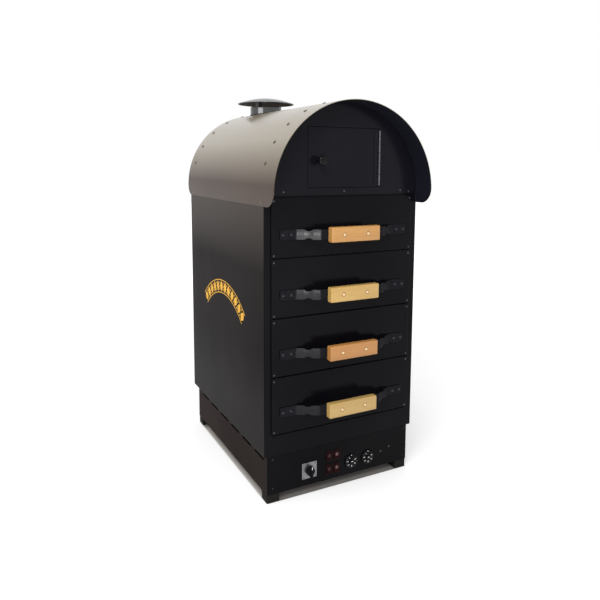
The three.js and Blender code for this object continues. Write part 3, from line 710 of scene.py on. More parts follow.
def soft_edge(radius: float, near: float, far: float) -> list[Pair]:
    """A rim's quarter round as (inset, place) pairs: inset r(1 - sin t), place near + r(1 - cos t) towards far.

    Before it comes one ring flat in the face, a little further in, that keeps the face's shading even.

    Args:
        radius: The rim's radius.
        near: The place of the face.
        far: The place of the opposite face.

    Returns:
        The pairs, from the face outwards.
    """
    way, flat = math.copysign(1.0, far - near), 0.4
    steps = np.linspace(0, np.pi / 2, 5)
    arc = [(radius * (1 - math.sin(t)), near + way * radius * (1 - math.cos(t))) for t in steps]
    return [(radius + flat, near), *arc]


def soft_block(low: np.ndarray, high: np.ndarray, axis: int, corner: float, soften: Pair) -> np.ndarray:
    """A block with round corners seen along an axis and round rims of two radii at its low and high face.

    Args:
        low: The block's lowest corner.
        high: Its highest corner.
        axis: The axis it is seen along.
        corner: The outline's corner radius.
        soften: The rims' radii, at the low and at the high face.

    Returns:
        Array [rings, points, 3].
    """
    near, far = low[axis], high[axis]
    profile = soft_edge(soften[0], near, far) + soft_edge(soften[1], far, near)[::-1]
    return rings(low, high, axis, corner, profile)


def turned(
    profile: Profile, centres: np.ndarray, normals: np.ndarray, sides: int = 24, lobes: int = 0,
    wave: Sequence[float] | float = 0.0,
) -> np.ndarray:
    """Turned forms, one at each centre along its normal.

    A point is the centre plus radius (cos a, sin a) across the normal plus height along it. The radius is first
    multiplied by 1 + wave cos(lobes a), which gives a knob its flutes and a screw head its cross.

    Args:
        profile: (radius, height) pairs.
        centres: Array [n, 3].
        normals: Array [n, 3] of unit vectors.
        sides: Points round the form.
        lobes: How many waves go round.
        wave: Depth of the waves, for all rings or for each.

    Returns:
        Array [n, rings, sides, 3].
    """
    centres, normals = np.atleast_2d(centres), np.atleast_2d(normals)
    radius, height = np.array(profile, float).T
    angle = np.linspace(0, 2 * np.pi, sides, endpoint=False)
    helper = np.where(np.abs(normals[:, 2:3]) < 0.9, Z, X)
    first = np.cross(helper, normals)
    first /= np.linalg.norm(first, axis=1, keepdims=True)
    second = np.cross(normals, first)
    depth = np.broadcast_to(np.asarray(wave, float), radius.shape)
    reach = radius[:, None] * (1 + depth[:, None] * np.cos(lobes * angle))
    across = np.cos(angle)[:, None] * first[:, None, :] + np.sin(angle)[:, None] * second[:, None, :]
    up = height[:, None, None] * normals[:, None, None, :]
    return centres[:, None, None, :] + reach[..., None] * across[:, None, :, :] + up


def spun(profile: Profile, x: float, y: float, sides: int = 96) -> np.ndarray:
    """One form turned about a vertical axis, from (radius, z) pairs."""
    return turned(profile, np.array([x, y, 0.0]), Z, sides)[0]


def fillet(points: Profile, radius: float, steps: int = 8) -> np.ndarray:
    """A line of straight runs with a round bend at each inner point.

    A bend starts and ends radius tan(half its angle) from the corner; in between it is the circle that touches both.

    Args:
        points: The corners.
        radius: The bends' radius.
        steps: Parts of each bend.

    Returns:
        Array [n, 2].
    """
    line = np.array(points, float)
    out = [line[:1]]
    for before, corner, after in zip(line[:-2], line[1:-1], line[2:]):
        back, ahead = (before - corner) / math.dist(before, corner), (after - corner) / math.dist(after, corner)
        half = math.acos(float(np.clip(back @ ahead, -1, 1))) / 2
        middle = corner + (back + ahead) / np.linalg.norm(back + ahead) * radius / math.sin(half)
        start, end = (corner + way * radius / math.tan(half) - middle for way in (back, ahead))
        share = np.linspace(0, 1, steps + 1)[:, None]
        chord = start * (1 - share) + end * share
        out.append(middle + chord / np.linalg.norm(chord, axis=1, keepdims=True) * radius)
    out.append(line[-1:])
    return np.concatenate(out)


def densely(line: np.ndarray, gap: float) -> np.ndarray:
    """The same line with a point at least every gap along it.

    Args:
        line: Array [n, 2].
        gap: The widest step.

    Returns:
        Array [m, 2].
    """
    length = np.concatenate([[0], np.cumsum(np.linalg.norm(np.diff(line, axis=0), axis=1))])
    wanted = np.unique(np.concatenate([length, np.arange(0, length[-1], gap)]))
    return np.stack([np.interp(wanted, length, part) for part in line.T], axis=1)


def flat_bar(line: np.ndarray, thickness: float, half_heights: np.ndarray, level: float, rim: float) -> np.ndarray:
    """A flat bar on edge, carried along a line in the X and Y plane.

    The section is a rectangle of the thickness and of each station's own height, with round corners of radius rim.

    Args:
        line: Array [n, 2], the bar's middle line.
        thickness: The bar's thickness.
        half_heights: Array [n].
        level: Z of the middle.
        rim: Corner radius of the section.

    Returns:
        Array [n, points, 3].
    """
    along = np.gradient(line, axis=0)
    along /= np.linalg.norm(along, axis=1, keepdims=True)
    across = np.stack([-along[:, 1], along[:, 0]], axis=1)
    turn, signs = corner_turns(3)
    side = signs[:, 0] * (thickness / 2 - rim) + rim * np.cos(turn)
    rise = signs[:, 1] * (half_heights[:, None] - rim) + rim * np.sin(turn)
    flat = line[:, None, :] + across[:, None, :] * side[None, :, None]
    return np.concatenate([flat, (level + rise)[..., None]], axis=-1)


@lru_cache(maxsize=None)
def glyphs(text: str) -> tuple[np.ndarray, tuple[tuple[int, ...], ...]]:
    """The mesh of a short text one unit high, centred: points [n, 3] and faces.

    Args:
        text: What it says.

    Returns:
        The points and the faces.
    """
    curve = bpy.data.curves.new("numeral", "FONT")
    curve.body, curve.align_x, curve.align_y = text, "CENTER", "CENTER"
    curve.extrude, curve.offset = 0.02, 0.022
    text_object = bpy.data.objects.new("numeral", curve)
    bpy.context.scene.collection.objects.link(text_object)
    bpy.context.view_layer.update()
    graph = bpy.context.evaluated_depsgraph_get()
    solid = bpy.data.meshes.new_from_object(text_object.evaluated_get(graph))
    points = np.empty(len(solid.vertices) * 3)
    solid.vertices.foreach_get("co", points)
    faces = tuple(tuple(face.vertices) for face in solid.polygons)
    bpy.data.objects.remove(text_object)
    bpy.data.curves.remove(curve)
    bpy.data.meshes.remove(solid)
    return points.reshape(-1, 3), faces


def numeral(shell: Shell, text: str, size: float, middle: np.ndarray, lean: float = 0.0) -> None:
    """Adds a numeral that faces the front: text (x, y, z) goes to (x, -z, y), leant clockwise about its middle.

    Args:
        shell: Where it is added.
        text: What it says.
        size: Its height.
        middle: Its middle.
        lean: How far it leans, in radians.
    """
    points, faces = glyphs(text)
    upright = np.stack([points[:, 0], -points[:, 2], points[:, 1]], axis=1) * size
    shell.add(upright @ rotation(1, lean).T + middle, faces)


# ==== Small parts that several assemblies use ====


class Head(Enum):
    """Profiles of fastener heads as (radius, height) pairs for a radius of 1, with each ring's cross recess."""

    RIVET = ((1.06, -0.1), (1.06, 0.03), (1.0, 0.1), (0.86, 0.25), (0.6, 0.36), (0.3, 0.41), (0.01, 0.42))
    CROSS = (
        (1.0, -0.1), (1.0, 0.14), (0.9, 0.34), (0.66, 0.47), (0.5, 0.48), (0.44, 0.36), (0.3, 0.12), (0.01, 0.1),
    )
    BOLT = ((1.0, -0.05), (1.0, 0.18), (0.93, 0.32), (0.7, 0.46), (0.4, 0.53), (0.01, 0.55))
    WASHER = (
        (1.5, -0.1), (1.5, 0.08), (1.42, 0.14), (1.0, 0.15), (0.98, 0.36), (0.7, 0.5), (0.35, 0.55), (0.01, 0.56),
    )

    @property
    def recess(self) -> tuple[float, ...] | float:
        """How deep the four lobes go at each ring."""
        return (0.0, 0.0, 0.0, 0.0, 0.4, 0.4, 0.4, 0.0) if self is Head.CROSS else 0.0


def heads(kind: Head, radius: float, places: np.ndarray, normals: np.ndarray, flatten: float = 1.0) -> Shell:
    """A shell with one fastener head at each place, facing along its normal.

    Args:
        kind: Which profile.
        radius: A head's radius.
        places: Array [n, 3].
        normals: One direction for all, or one for each.
        flatten: What the profile's heights are multiplied by.

    Returns:
        The shell.
    """
    profile = [(radius * across, radius * up * flatten) for across, up in kind.value]
    turns = turned(profile, places, np.broadcast_to(normals, np.shape(places)), 16, 4, kind.recess)
    return Shell().grids(turns, (False, True))


@dataclass
class Assembly:
    """Pieces that ride one body of the frame."""

    body: str = "cabinet"

    def show(self, name: str, shell: Shell, finish: Finish, *nodes: str) -> bpy.types.Object:
        """Makes a piece.

        Args:
            name: The piece's name.
            shell: Its surface.
            finish: What it is made of.
            nodes: CAD nodes that it stands for.

        Returns:
            The new object.
        """
        made = bpy.data.objects.new(name, shell.mesh(name))
        made.data.materials.append(material_of(finish))
        bpy.context.scene.collection.objects.link(made)
        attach(made, self.body)
        if nodes:
            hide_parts(*nodes)
        LOG.info("%s: %d faces of %s on %s", name, len(made.data.polygons), finish.name, self.body)
        return made

    @staticmethod
    def dress(finish: Finish, *nodes: str, edge: float = 0.0) -> None:
        """Gives CAD nodes a finish, and rounds their edges where a radius in millimetres is given.

        Args:
            finish: What they are made of.
            nodes: The CAD nodes' names.
            edge: The radius of their edges.
        """
        for node in nodes:
            made = frame["nodes"][node]
            for slot in made.material_slots:
                slot.link = "OBJECT"
                slot.material = material_of(finish)
            if edge:
                weld = made.modifiers.new("weld", "WELD")
                weld.merge_threshold = WELD
                bevel = made.modifiers.new("bevel", "BEVEL")
                bevel.width, bevel.segments, bevel.limit_method = edge * MM, 2, "ANGLE"
                bevel.angle_limit, bevel.harden_normals = SHARP, True
            LOG.info("%s: CAD piece in %s", node, finish.name)


# ==== Hood and flue ====


@dataclass
class Hood(Assembly):
    """Arched sheet with its rows of rivets, and the gable plates under it."""

    inner: float = 250.4
    sheet: float = 1.3
    spring: float = 877.0
    eave: float = 843.0
    front: float = -70.0
    rear: float = 675.0
    front_corner: float = 45.0
    rear_corner: float = 35.0
    rivet: float = 5.2
    rivet_rows: Pair = (12.0, 625.0)
    rivet_turn: float = math.radians(14.35)
    eave_rivets: tuple[float, ...] = (14.0, 313.0, 622.0)
    eave_rivet_level: float = 853.0
    flue_y: float = 554.0
    flue_hole: float = 55.3
    bead: float = 1.8
    gables: Pair = (0.0, 650.0)
    screw: float = 3.2
    screws: tuple[Pair, ...] = ((-191.0, 880.0), (-2.0, 880.0), (192.0, 880.0), (-221.0, 876.0), (222.0, 876.0))

    @property
    def outer(self) -> float:
        """The arch's outer radius."""
        return self.inner + self.sheet

    def arch(self, radius: float, run: np.ndarray) -> np.ndarray:
        """Points (x, z) of the arch at distances along it, 0 at the ridge.

        Up to a quarter circle from the ridge the point is radius (sin t, cos t) above the spring line; beyond it
        the sheet goes straight down.

        Args:
            radius: The arch's radius.
            run: The distances.

        Returns:
            Array [..., 2].
        """
        quarter = radius * np.pi / 2
        angle = np.clip(run, -quarter, quarter) / radius
        drop = np.maximum(np.abs(run) - quarter, 0)
        return np.stack([radius * np.sin(angle), self.spring + radius * np.cos(angle) - drop], axis=-1)

    def corner_inset(self, above: np.ndarray, radius: float) -> np.ndarray:
        """How far a rounded corner cuts in at a height above the eave: r - sqrt(r^2 - (r - h)^2) below r."""
        return radius - np.sqrt(radius**2 - np.clip(radius - above, 0, radius) ** 2)

    def sheet_surface(self) -> Shell:
        """The hood: rings from eave to eave, each an outline round the sheet's thickness from front to rear.

        Returns:
            The closed sheet.
        """
        reach = self.outer * np.pi / 2 + self.spring - self.eave
        start = reach - self.front_corner * (1 - np.cos(np.linspace(0, np.pi / 2, 12)))
        run = np.unique(np.concatenate([start, -start, np.linspace(-start[-1], start[-1], 145)]))
        above = reach - np.abs(run)
        front = self.front + self.corner_inset(above, self.front_corner)
        rear = self.rear - self.corner_inset(above, self.rear_corner)
        share = np.concatenate([[0.0, 0.001], np.linspace(0.02, 0.98, 25), [0.999, 1.0]])
        depth = front[:, None] + (rear - front)[:, None] * share
        bands = []
        for radius, way in ((self.outer, 1), (self.inner, -1)):
            level = np.broadcast_to(self.arch(radius, run * (radius / self.outer))[:, None, :], (*depth.shape, 2))
            band = np.stack([level[..., 0], depth, level[..., 1]], axis=-1)
            bands.append(band[:, ::way])
        return Shell().grid(np.concatenate(bands, axis=1))

    def rivets(self) -> Shell:
        """Both rows over the arch and the six along the eaves.

        Returns:
            All the rivets' heads.
        """
        angle = np.arange(-5, 6) * self.rivet_turn
        normals = np.stack([np.sin(angle), 0 * angle, np.cos(angle)], axis=1)
        arch = normals * self.outer + at(0, 0, self.spring)
        rows = np.concatenate([arch + at(0, y, 0) for y in self.rivet_rows])
        shell = heads(Head.RIVET, self.rivet, rows, np.concatenate([normals, normals]))
        for side in (-1, 1):
            places = np.array([at(side * self.outer, y, self.eave_rivet_level) for y in self.eave_rivets])
            low = heads(Head.RIVET, self.rivet * 0.9, places, side * X, 0.18)
            shell.add(np.concatenate(low.points), low.faces)
        return shell

    def gable_screws(self, y: float, way: float) -> Shell:
        """The row of screws along a gable's foot."""
        places = np.array([at(x, y, z) for x, z in self.screws])
        return heads(Head.CROSS, self.screw, places, way * Y)

    def seal(self) -> Shell:
        """The bead of sealant where the pipe leaves the hood.

        Its middle line goes round the pipe, (r cos a, r sin a), at the height of the arch there,
        spring + sqrt(R^2 - (r cos a)^2); its section is a circle in the plane of the pipe's axis.

        Returns:
            A closed ring.
        """
        angle = np.linspace(0, 2 * np.pi, 96, endpoint=False)[:, None]
        round_bead = np.linspace(0, 2 * np.pi, 10, endpoint=False)
        radius = self.flue_hole + self.bead * np.cos(round_bead)
        top = np.sqrt(self.outer**2 - (self.flue_hole * np.cos(angle)) ** 2)
        across, along = radius * np.cos(angle), self.flue_y + radius * np.sin(angle)
        level = self.spring + top + self.bead * (0.4 + np.sin(round_bead))
        return Shell().grid(np.stack([across, along, level], axis=-1), along=True, caps=(False, False))

    def line(self, sheet: bpy.types.Object) -> None:
        """Gives the faces that look inwards the lining's enamel: those whose normal points at the arch's axis.

        Args:
            sheet: The hood's piece.
        """
        mesh = sheet.data
        mesh.materials.append(material_of(LINING_ENAMEL))
        centres, normals = np.empty((2, len(mesh.polygons) * 3))
        mesh.polygons.foreach_get("center", centres)
        mesh.polygons.foreach_get("normal", normals)
        arm, normal = centres.reshape(-1, 3), normals.reshape(-1, 3)
        rise = np.maximum(arm[:, 2] - self.spring * MM, 0)
        inward = arm[:, 0] * normal[:, 0] + rise * normal[:, 2] < -0.1 * self.inner * MM
        mesh.polygons.foreach_set("material_index", inward.astype(np.int32))

    def build(self) -> None:
        """Makes the sheet, its rivets and the gables."""
        sheet = self.show("hood_arch", self.sheet_surface(), HOOD_ENAMEL, "hood_sheet")
        self.line(sheet)
        self.show("hood_rivets", self.rivets(), RIVET_METAL)
        self.dress(GABLE_ENAMEL, "gable_front", edge=0.4)
        self.dress(SIDE_ENAMEL, "gable_rear", edge=0.4)
        for end, y, way in zip(("front", "rear"), self.gables, (-1.0, 1.0)):
            self.show(f"gable_{end}_screws", self.gable_screws(y, way), DULL_ZINC)
        self.show("flue_seal", self.seal(), LINING_ENAMEL)


@dataclass
class Flue(Assembly):
    """Flue pipe with its rolled rim, and the shallow domed cap on three flat legs.

    The pipe's straight run has a ring at one height and another so far below the rim.
    """

    y: float = 554.0
    radius: float = 55.0
    wall: float = 1.5
    bottom: float = 855.3
    collar: float = 70.0
    collar_levels: Pair = (865.6, 867.1)
    rim: float = 1152.0
    bead: float = 0.95
    straight: Pair = (1000.0, 8.0)
    cap_radius: float = 100.0
    cap_rim: float = 1162.0
    cap_rise: float = 20.0
    leg_width: float = 12.0
    leg_sheet: float = 2.0
    leg_depth: float = 20.0

    def pipe(self) -> Shell:
        """The pipe: up the outside past its collar, over the rim's bead, down the inside.

        Returns:
            The closed tube.
        """
        outer, inner, rim = self.radius, self.radius - self.wall, self.rim
        low, high = self.collar_levels
        ring, below = self.straight
        turn = np.linspace(0, np.pi, 7)
        bead = [((outer + inner) / 2 + self.bead * math.cos(t), rim - 1.0 + math.sin(t)) for t in turn]
        profile = [(inner, self.bottom), (outer, self.bottom), (outer, low), (self.collar, low), (self.collar, high)]
        profile += [(outer + self.wall, high), (outer, high + self.wall), (outer, ring), (outer, rim - below), *bead]
        profile += [(inner, rim - below), (inner, ring)]
        return Shell().grid(spun(profile, 0, self.y, 128), along=True, caps=(False, False))

    def dome(self, radius: np.ndarray) -> np.ndarray:
        """Height of the cap's underside: rim + rise (1 - (r / R)^2)."""
        return self.cap_rim + self.cap_rise * (1 - (radius / self.cap_radius) ** 2)

    def cap(self) -> Shell:
        """The dome's outside with its rolled edge.

        Returns:
            The shell, open below.
        """
        radii = np.linspace(0.01, self.cap_radius - 2.2, 14)
        over = list(zip(radii[::-1], self.dome(radii[::-1]) + self.wall - 0.05))
        edge = self.cap_radius - 1.25
        turn = np.linspace(-1.1 * np.pi, 0.6 * np.pi, 12)
        roll = [(edge + 1.2 * math.cos(t), self.cap_rim + 1.3 + 1.2 * math.sin(t)) for t in turn]
        return Shell().grid(spun([*roll, *over], 0, self.y, 128), caps=(False, True))

    def underside(self) -> Shell:
        """The sooted inside of the dome, and the legs down into the pipe.

        Returns:
            The shell with its three legs.
        """
        radii = np.linspace(0.01, self.cap_radius - 2.0, 14)
        under = list(zip(radii, self.dome(radii)))
        over = list(zip(radii[::-1], self.dome(radii[::-1]) + self.wall / 2))
        shell = Shell().grid(spun([*under, *over], 0, self.y, 128))
        limit = (self.radius - self.wall) * math.cos(math.pi / 32) - 0.3
        face = math.sqrt(limit**2 - (self.leg_width / 2) ** 2)
        low = at(-self.leg_width / 2, face - self.leg_sheet, self.rim - self.leg_depth)
        high = at(self.leg_width / 2, face, float(self.dome(np.array(face))) + self.wall / 2)
        leg = soft_block(low, high, 2, 0.6, (0.5, 0.1))
        for turn in np.arange(3) * 2 * np.pi / 3:
            shell.grid(leg @ rotation(2, turn).T + at(0, self.y, 0))
        return shell

    def build(self) -> None:
        """Makes pipe and cap."""
        self.show("flue_tube", self.pipe(), FLUE_ENAMEL, "flue_pipe")
        self.show("flue_cowl", self.cap(), FLUE_ENAMEL, "flue_cap")
        self.show("flue_cowl_inside", self.underside(), SOOT)


# ==== Drawers ====


@dataclass
class Drawer(Assembly):
    """One drawer: folded front with its corner screws, tray, bent strap and wooden grip."""

    number: int = 1
    floor: float = 703.3
    wood: Finish = ORANGE_WOOD
    half_width: float = 229.0
    height: float = 163.0
    face: float = -6.0
    back: float = -0.3
    fold: float = 1.5
    sheet: float = 1.5
    return_sheet: float = 1.2
    return_width: float = 30.0
    screw: float = 2.7
    screw_inset: Triple = (7.0, 6.5, 9.5)
    handle_height: float = 62.0
    strap_face: float = -6.3
    strap_sheet: float = 4.0
    strap_half: float = 14.0
    end_round: float = 4.0
    strap_bends: tuple[Pair, ...] = ((205.0, -8.3), (155.0, -8.3), (99.0, -42.0))
    bend: float = 9.0
    waist: float = 16.0
    waist_depth: float = 4.5
    bolt: float = 4.4
    bolts: Pair = (172.0, 197.0)
    grip_half: float = 77.5
    grip_back: float = -44.3
    grip_thick: float = 22.0
    grip_tall: float = 42.0
    grip_screw: float = 2.9
    grip_screw_x: float = 38.0
    # seat: the profile of the dark ring round each grip screw, painted shade of its countersink
    seat: Profile = ((4.2, 0.02), (4.5, 0.12), (5.4, 0.12), (5.8, 0.02))

    @property
    def level(self) -> float:
        """Height of the handle's middle."""
        return self.floor + self.handle_height

    def front(self) -> Shell:
        """The front as one folded pan: face, round folds, returns at the back, and the hollow behind the face.

        Returns:
            The closed pan.
        """
        low = at(-self.half_width, self.face, self.floor)
        high = at(self.half_width, self.back, self.floor + self.height)
        profile = soft_edge(self.fold, self.face, self.back) + soft_edge(self.fold, self.back, self.face)[::-1]
        lip, inside, behind = self.return_width, self.back - self.return_sheet, self.face + self.sheet
        profile += [(lip, self.back), (lip, inside), (self.fold, inside), (self.fold, behind), (20, behind)]
        return Shell().grid(rings(low, high, 1, 1.8, profile))

    def corner_screws(self) -> Shell:
        """One cross-head screw in each corner, so far in from the side, the lower edge and the upper edge.

        Returns:
            The four heads.
        """
        side, low, high = self.screw_inset
        levels = (self.floor + low, self.floor + self.height - high)
        return heads(Head.CROSS, self.screw, mirrored([self.half_width - side], self.face, levels), -Y)

    def strap(self) -> Shell:
        """The strap: a flat bar on edge along its bent middle line, narrowed by round bites halfway up each arm.

        Half its height is strap_half + waist - waist_depth - sqrt(waist^2 - distance^2) near the bites' middle, and
        strap_half elsewhere. The corners of its ends are rounded with the radius end_round.

        Returns:
            The closed bar.
        """
        right, corner = np.array(self.strap_bends), self.end_round
        line = densely(fillet([*(right * np.array([-1.0, 1.0])), *right[::-1]], self.bend), 2.0)
        across = np.abs(line[:, 0])
        away = np.linalg.norm(np.stack([across, line[:, 1]], axis=1) - (right[1] + right[2]) / 2, axis=1)
        top = self.strap_half + self.waist - self.waist_depth
        bite = np.minimum(self.strap_half, top - np.sqrt(np.clip(self.waist**2 - away**2, 0, None)))
        end = np.clip(corner - (right[0, 0] - across), 0, corner)
        half = np.where(away < self.waist, bite, self.strap_half) - (corner - np.sqrt(corner**2 - end**2))
        return Shell().grid(flat_bar(line, self.strap_sheet, half, self.level, 0.7))

    def bolt_heads(self) -> Shell:
        """Two domed bolt heads on each foot of the strap."""
        places = mirrored(self.bolts, self.strap_face - self.strap_sheet, [self.level])
        return heads(Head.BOLT, self.bolt, places, -Y)

    def grip(self) -> Shell:
        """The wooden block, with rounded edges and ends.

        Returns:
            The closed block.
        """
        span = (self.grip_back - self.grip_thick, self.grip_back)
        low, high = box_round(at(0, 0, self.level), self.grip_half, self.grip_tall / 2, span)
        return Shell().grid(soft_block(low, high, 0, 4.2, (2.2, 2.2)))

    def grip_fixings(self) -> tuple[Shell, Shell]:
        """The two screws through the grip into the strap, and the dark ring round each, painted shade of the hole
        that it is sunk in.

        Returns:
            The screws' heads and the rings.
        """
        places = mirrored([self.grip_screw_x], self.grip_back - self.grip_thick, [self.level])
        shade_rings = turned(self.seat, places, np.broadcast_to(-Y, places.shape), 32)
        return heads(Head.WASHER, self.grip_screw, places, -Y), Shell().grids(shade_rings, (False, False))

    def build(self) -> None:
        """Makes the drawer's pieces."""
        tag = self.number
        self.show(f"front_pan_{tag}", self.front(), FRONT_ENAMEL, f"drawer_front_{tag}")
        self.show(f"front_screws_{tag}", self.corner_screws(), DULL_ZINC)
        self.show(f"strap_{tag}", self.strap(), STRAP_PAINT, f"handle_strap_{tag}")
        self.show(f"strap_bolts_{tag}", self.bolt_heads(), BOLT_ENAMEL)
        self.show(f"grip_{tag}", self.grip(), self.wood, f"handle_grip_{tag}")
        screws, shade_rings = self.grip_fixings()
        self.show(f"grip_screws_{tag}", screws, BRASS)
        # the rings are painted shade round the screws
        self.show(f"grip_seats_{tag}", shade_rings, RECESS_SHADE_BROWN)
        self.dress(TRAY_STEEL, f"drawer_tray_{tag}")


# ==== Controls ====


def scale_marks(shell: Shell, centre: np.ndarray, mark: Triple, *angles: float) -> None:
    """Adds radial marks to a face seen from the front, each a thin raised bar.

    Args:
        shell: Where they are added.
        centre: The middle that they point to.
        mark: How far from it a mark starts and ends, and its width.
        angles: Where the marks are, clockwise from the top.
    """
    inner, outer, width = mark
    low, high = centre + at(-width / 2, -FILM_LIFT, inner), centre + at(width / 2, FILM_LIFT, outer)
    bar = rings(low, high, 1, width / 3, [(0, low[1]), (0, high[1])])
    for angle in angles:
        shell.grid((bar - centre) @ rotation(1, angle).T + centre)


@dataclass
class Dial(Assembly):
    """A thermostat's dial: a flat skirt with numerals and a shallow fluted grip with a white bar across it, a painted
    highlight on the grip's top.

    The numerals go round anticlockwise from first to last, both counted clockwise from the top.
    """

    number: int = 1
    x: float = 36.0
    z: float = 65.0
    back: float = 4.4
    skirt: float = 22.0
    skirt_thick: float = 4.0
    grip: float = 8.0
    grip_front: float = -4.6
    flutes: int = 18
    sides: int = 144
    numerals: str = "123456"
    numeral_size: float = 7.0
    first: float = math.radians(-28)
    last: float = math.radians(-290)
    ring: float = 13.6
    tick: Triple = (18.0, 18.8, 0.6)
    pip: Triple = (18.4, 21.2, 2.4)
    # bar: the painted highlight across the grip, drawn as a white mark
    bar: Triple = (-4.0, 4.0, 2.2)
    highlight_bar_place: Triple = (-1.1, 0.48, 1.6)

    def knob(self) -> Shell:
        """Skirt and grip, both turned about the spindle; the grip's flutes fade out towards its ends.

        Returns:
            The knob.
        """
        hub, edge, back, tip = at(self.x, 0, self.z), self.skirt, self.back, self.grip_front
        face = back - self.skirt_thick
        skirt = [(self.grip, back), (edge - 0.8, back), (edge, back - 0.8), (edge, face + 1.2)]
        skirt += [(edge - 0.4, face + 0.4), (edge - 1.1, face), (self.grip + 1.2, face), (self.grip, face - 0.4)]
        base = turned([(r, -y) for r, y in skirt], hub, -Y, self.sides)
        radii = np.array([1.0, 0.98, 0.93, 0.87, 0.78]) * self.grip
        grip = [*zip(radii, (face - 0.3, face - 1.5, tip + 1.6, tip + 0.5, tip))]
        grip += [(5.8, tip), (5.4, tip + 0.4), (0.01, tip + 0.5)]
        waves = [0.0, 0.035, 0.045, 0.03, 0.0, 0.0, 0.0, 0.0]
        knob = turned([(r, -y) for r, y in grip], hub, -Y, self.sides, self.flutes, waves)
        return Shell().grids(base, (False, False)).grids(knob, (False, True))

    def marks(self) -> Shell:
        """Numerals and ticks on the skirt, the pip at its top, and the bar across the grip, a painted highlight.

        Returns:
            All that is white: the printed marks and the painted highlight.
        """
        shell, count, hub = Shell(), len(self.numerals), at(self.x, 0, self.z)
        face = hub + Y * (self.back - self.skirt_thick)
        for text, angle in zip(self.numerals, np.linspace(self.first, self.last, count)):
            spot = face + at(self.ring * math.sin(angle), -0.02, self.ring * math.cos(angle))
            numeral(shell, text, self.numeral_size, spot, float(angle))
        scale_marks(shell, face, self.tick, *np.linspace(self.first, self.last, 2 * count - 1))
        scale_marks(shell, face, self.pip, 0.0)
        # painted highlight: the white bar across the grip's front
        scale_marks(shell, hub + Y * self.grip_front + self.highlight_bar_place, self.bar, math.pi / 2)
        return shell

    def build(self) -> None:
        """Makes knob and marks."""
        self.show(f"dial_knob_{self.number}", self.knob(), KNOB_PLASTIC, f"thermostat_dial_{self.number}")
        self.show(f"dial_marks_{self.number}", self.marks(), MARK_WHITE)


@dataclass
class Selector(Assembly):
    """The rotary switch: bright plate with its positions, and a knob with a bar across it."""

    x: float = -105.5
    z: float = 70.0
    plate_half: float = 24.0
    plate_front: float = 3.2
    plate_back: float = 4.7
    body_half: float = 20.0
    body_front: float = 6.8
    body_back: float = 40.8
    numeral_size: float = 6.5
    numeral_place: float = 19.0
    tick: Triple = (16.0, 18.0, 1.1)
    ticks: tuple[float, ...] = tuple(np.radians([-90, -60, -30, 30, 60, 90]))
    knob_radius: float = 12.8
    knob_back: float = 2.9
    knob_front: float = -15.1
    bar_reach: float = 6.0
    bar_wide: float = 4.0
    bar_half: float = 19.0
    pointer: Triple = (8.6, 17.0, 2.4)

    @property
    def hub(self) -> np.ndarray:
        """The spindle's place, level with the cabinet's front."""
        return at(self.x, 0, self.z)

    def knob_shell(self) -> Shell:
        """A round base that carries a bar with rounded ends.

        Returns:
            The base and the bar.
        """
        top, back, radius = self.knob_front + self.bar_reach, self.knob_back, self.knob_radius
        profile = [(6, -back), (radius - 0.8, -back), (radius, -back + 0.8), (radius, -top - 1.4)]
        profile += [(radius - 0.4, -top - 0.5), (radius - 1.3, -top), (0.01, -top + 0.2)]
        shell = Shell().grids(turned(profile, self.hub, -Y, 96), (False, True))
        bar = box_round(self.hub, self.bar_wide, self.bar_half, (self.knob_front, top + 2.0))
        return shell.grid(soft_block(*bar, 1, 3.9, (1.3, 0.1)))

    def plate_marks(self) -> Shell:
        """A numeral in each corner of the plate, and ticks round the knob.

        Returns:
            All that is printed black.
        """
        shell, place = Shell(), self.numeral_place
        for text, x, z in (("1", -1, 1), ("0", 1, 1), ("2", 1, -1), ("3", -1, -1)):
            spot = self.hub + at(x * place, self.plate_front - 0.02, z * place)
            numeral(shell, text, self.numeral_size, spot)
        scale_marks(shell, self.hub + Y * self.plate_front, self.tick, *self.ticks)
        return shell

    def build(self) -> None:
        """Makes plate, body, knob and marks."""
        plate = box_round(self.hub, self.plate_half, self.plate_half, (self.plate_front, self.plate_back))
        shell = Shell().grid(soft_block(*plate, 1, 2.5, (0.5, 0.2)))
        self.show("selector_plate", shell, PLATE_ALUMINIUM, "rotary_switch")
        case = box_round(self.hub, self.body_half, self.body_half, (self.body_front, self.body_back))
        self.show("selector_body", Shell().grid(soft_block(*case, 1, 2.0, (0.8, 1.5))), BEZEL_PLASTIC)
        self.show("selector_marks", self.plate_marks(), MARK_BLACK)
        self.body = "selector"
        self.show("selector_knob", self.knob_shell(), KNOB_PLASTIC, "rotary_knob")
        shell = Shell()
        scale_marks(shell, self.hub + Y * self.knob_front, self.pointer, 0.0)
        self.show("selector_pointer", shell, MARK_WHITE)


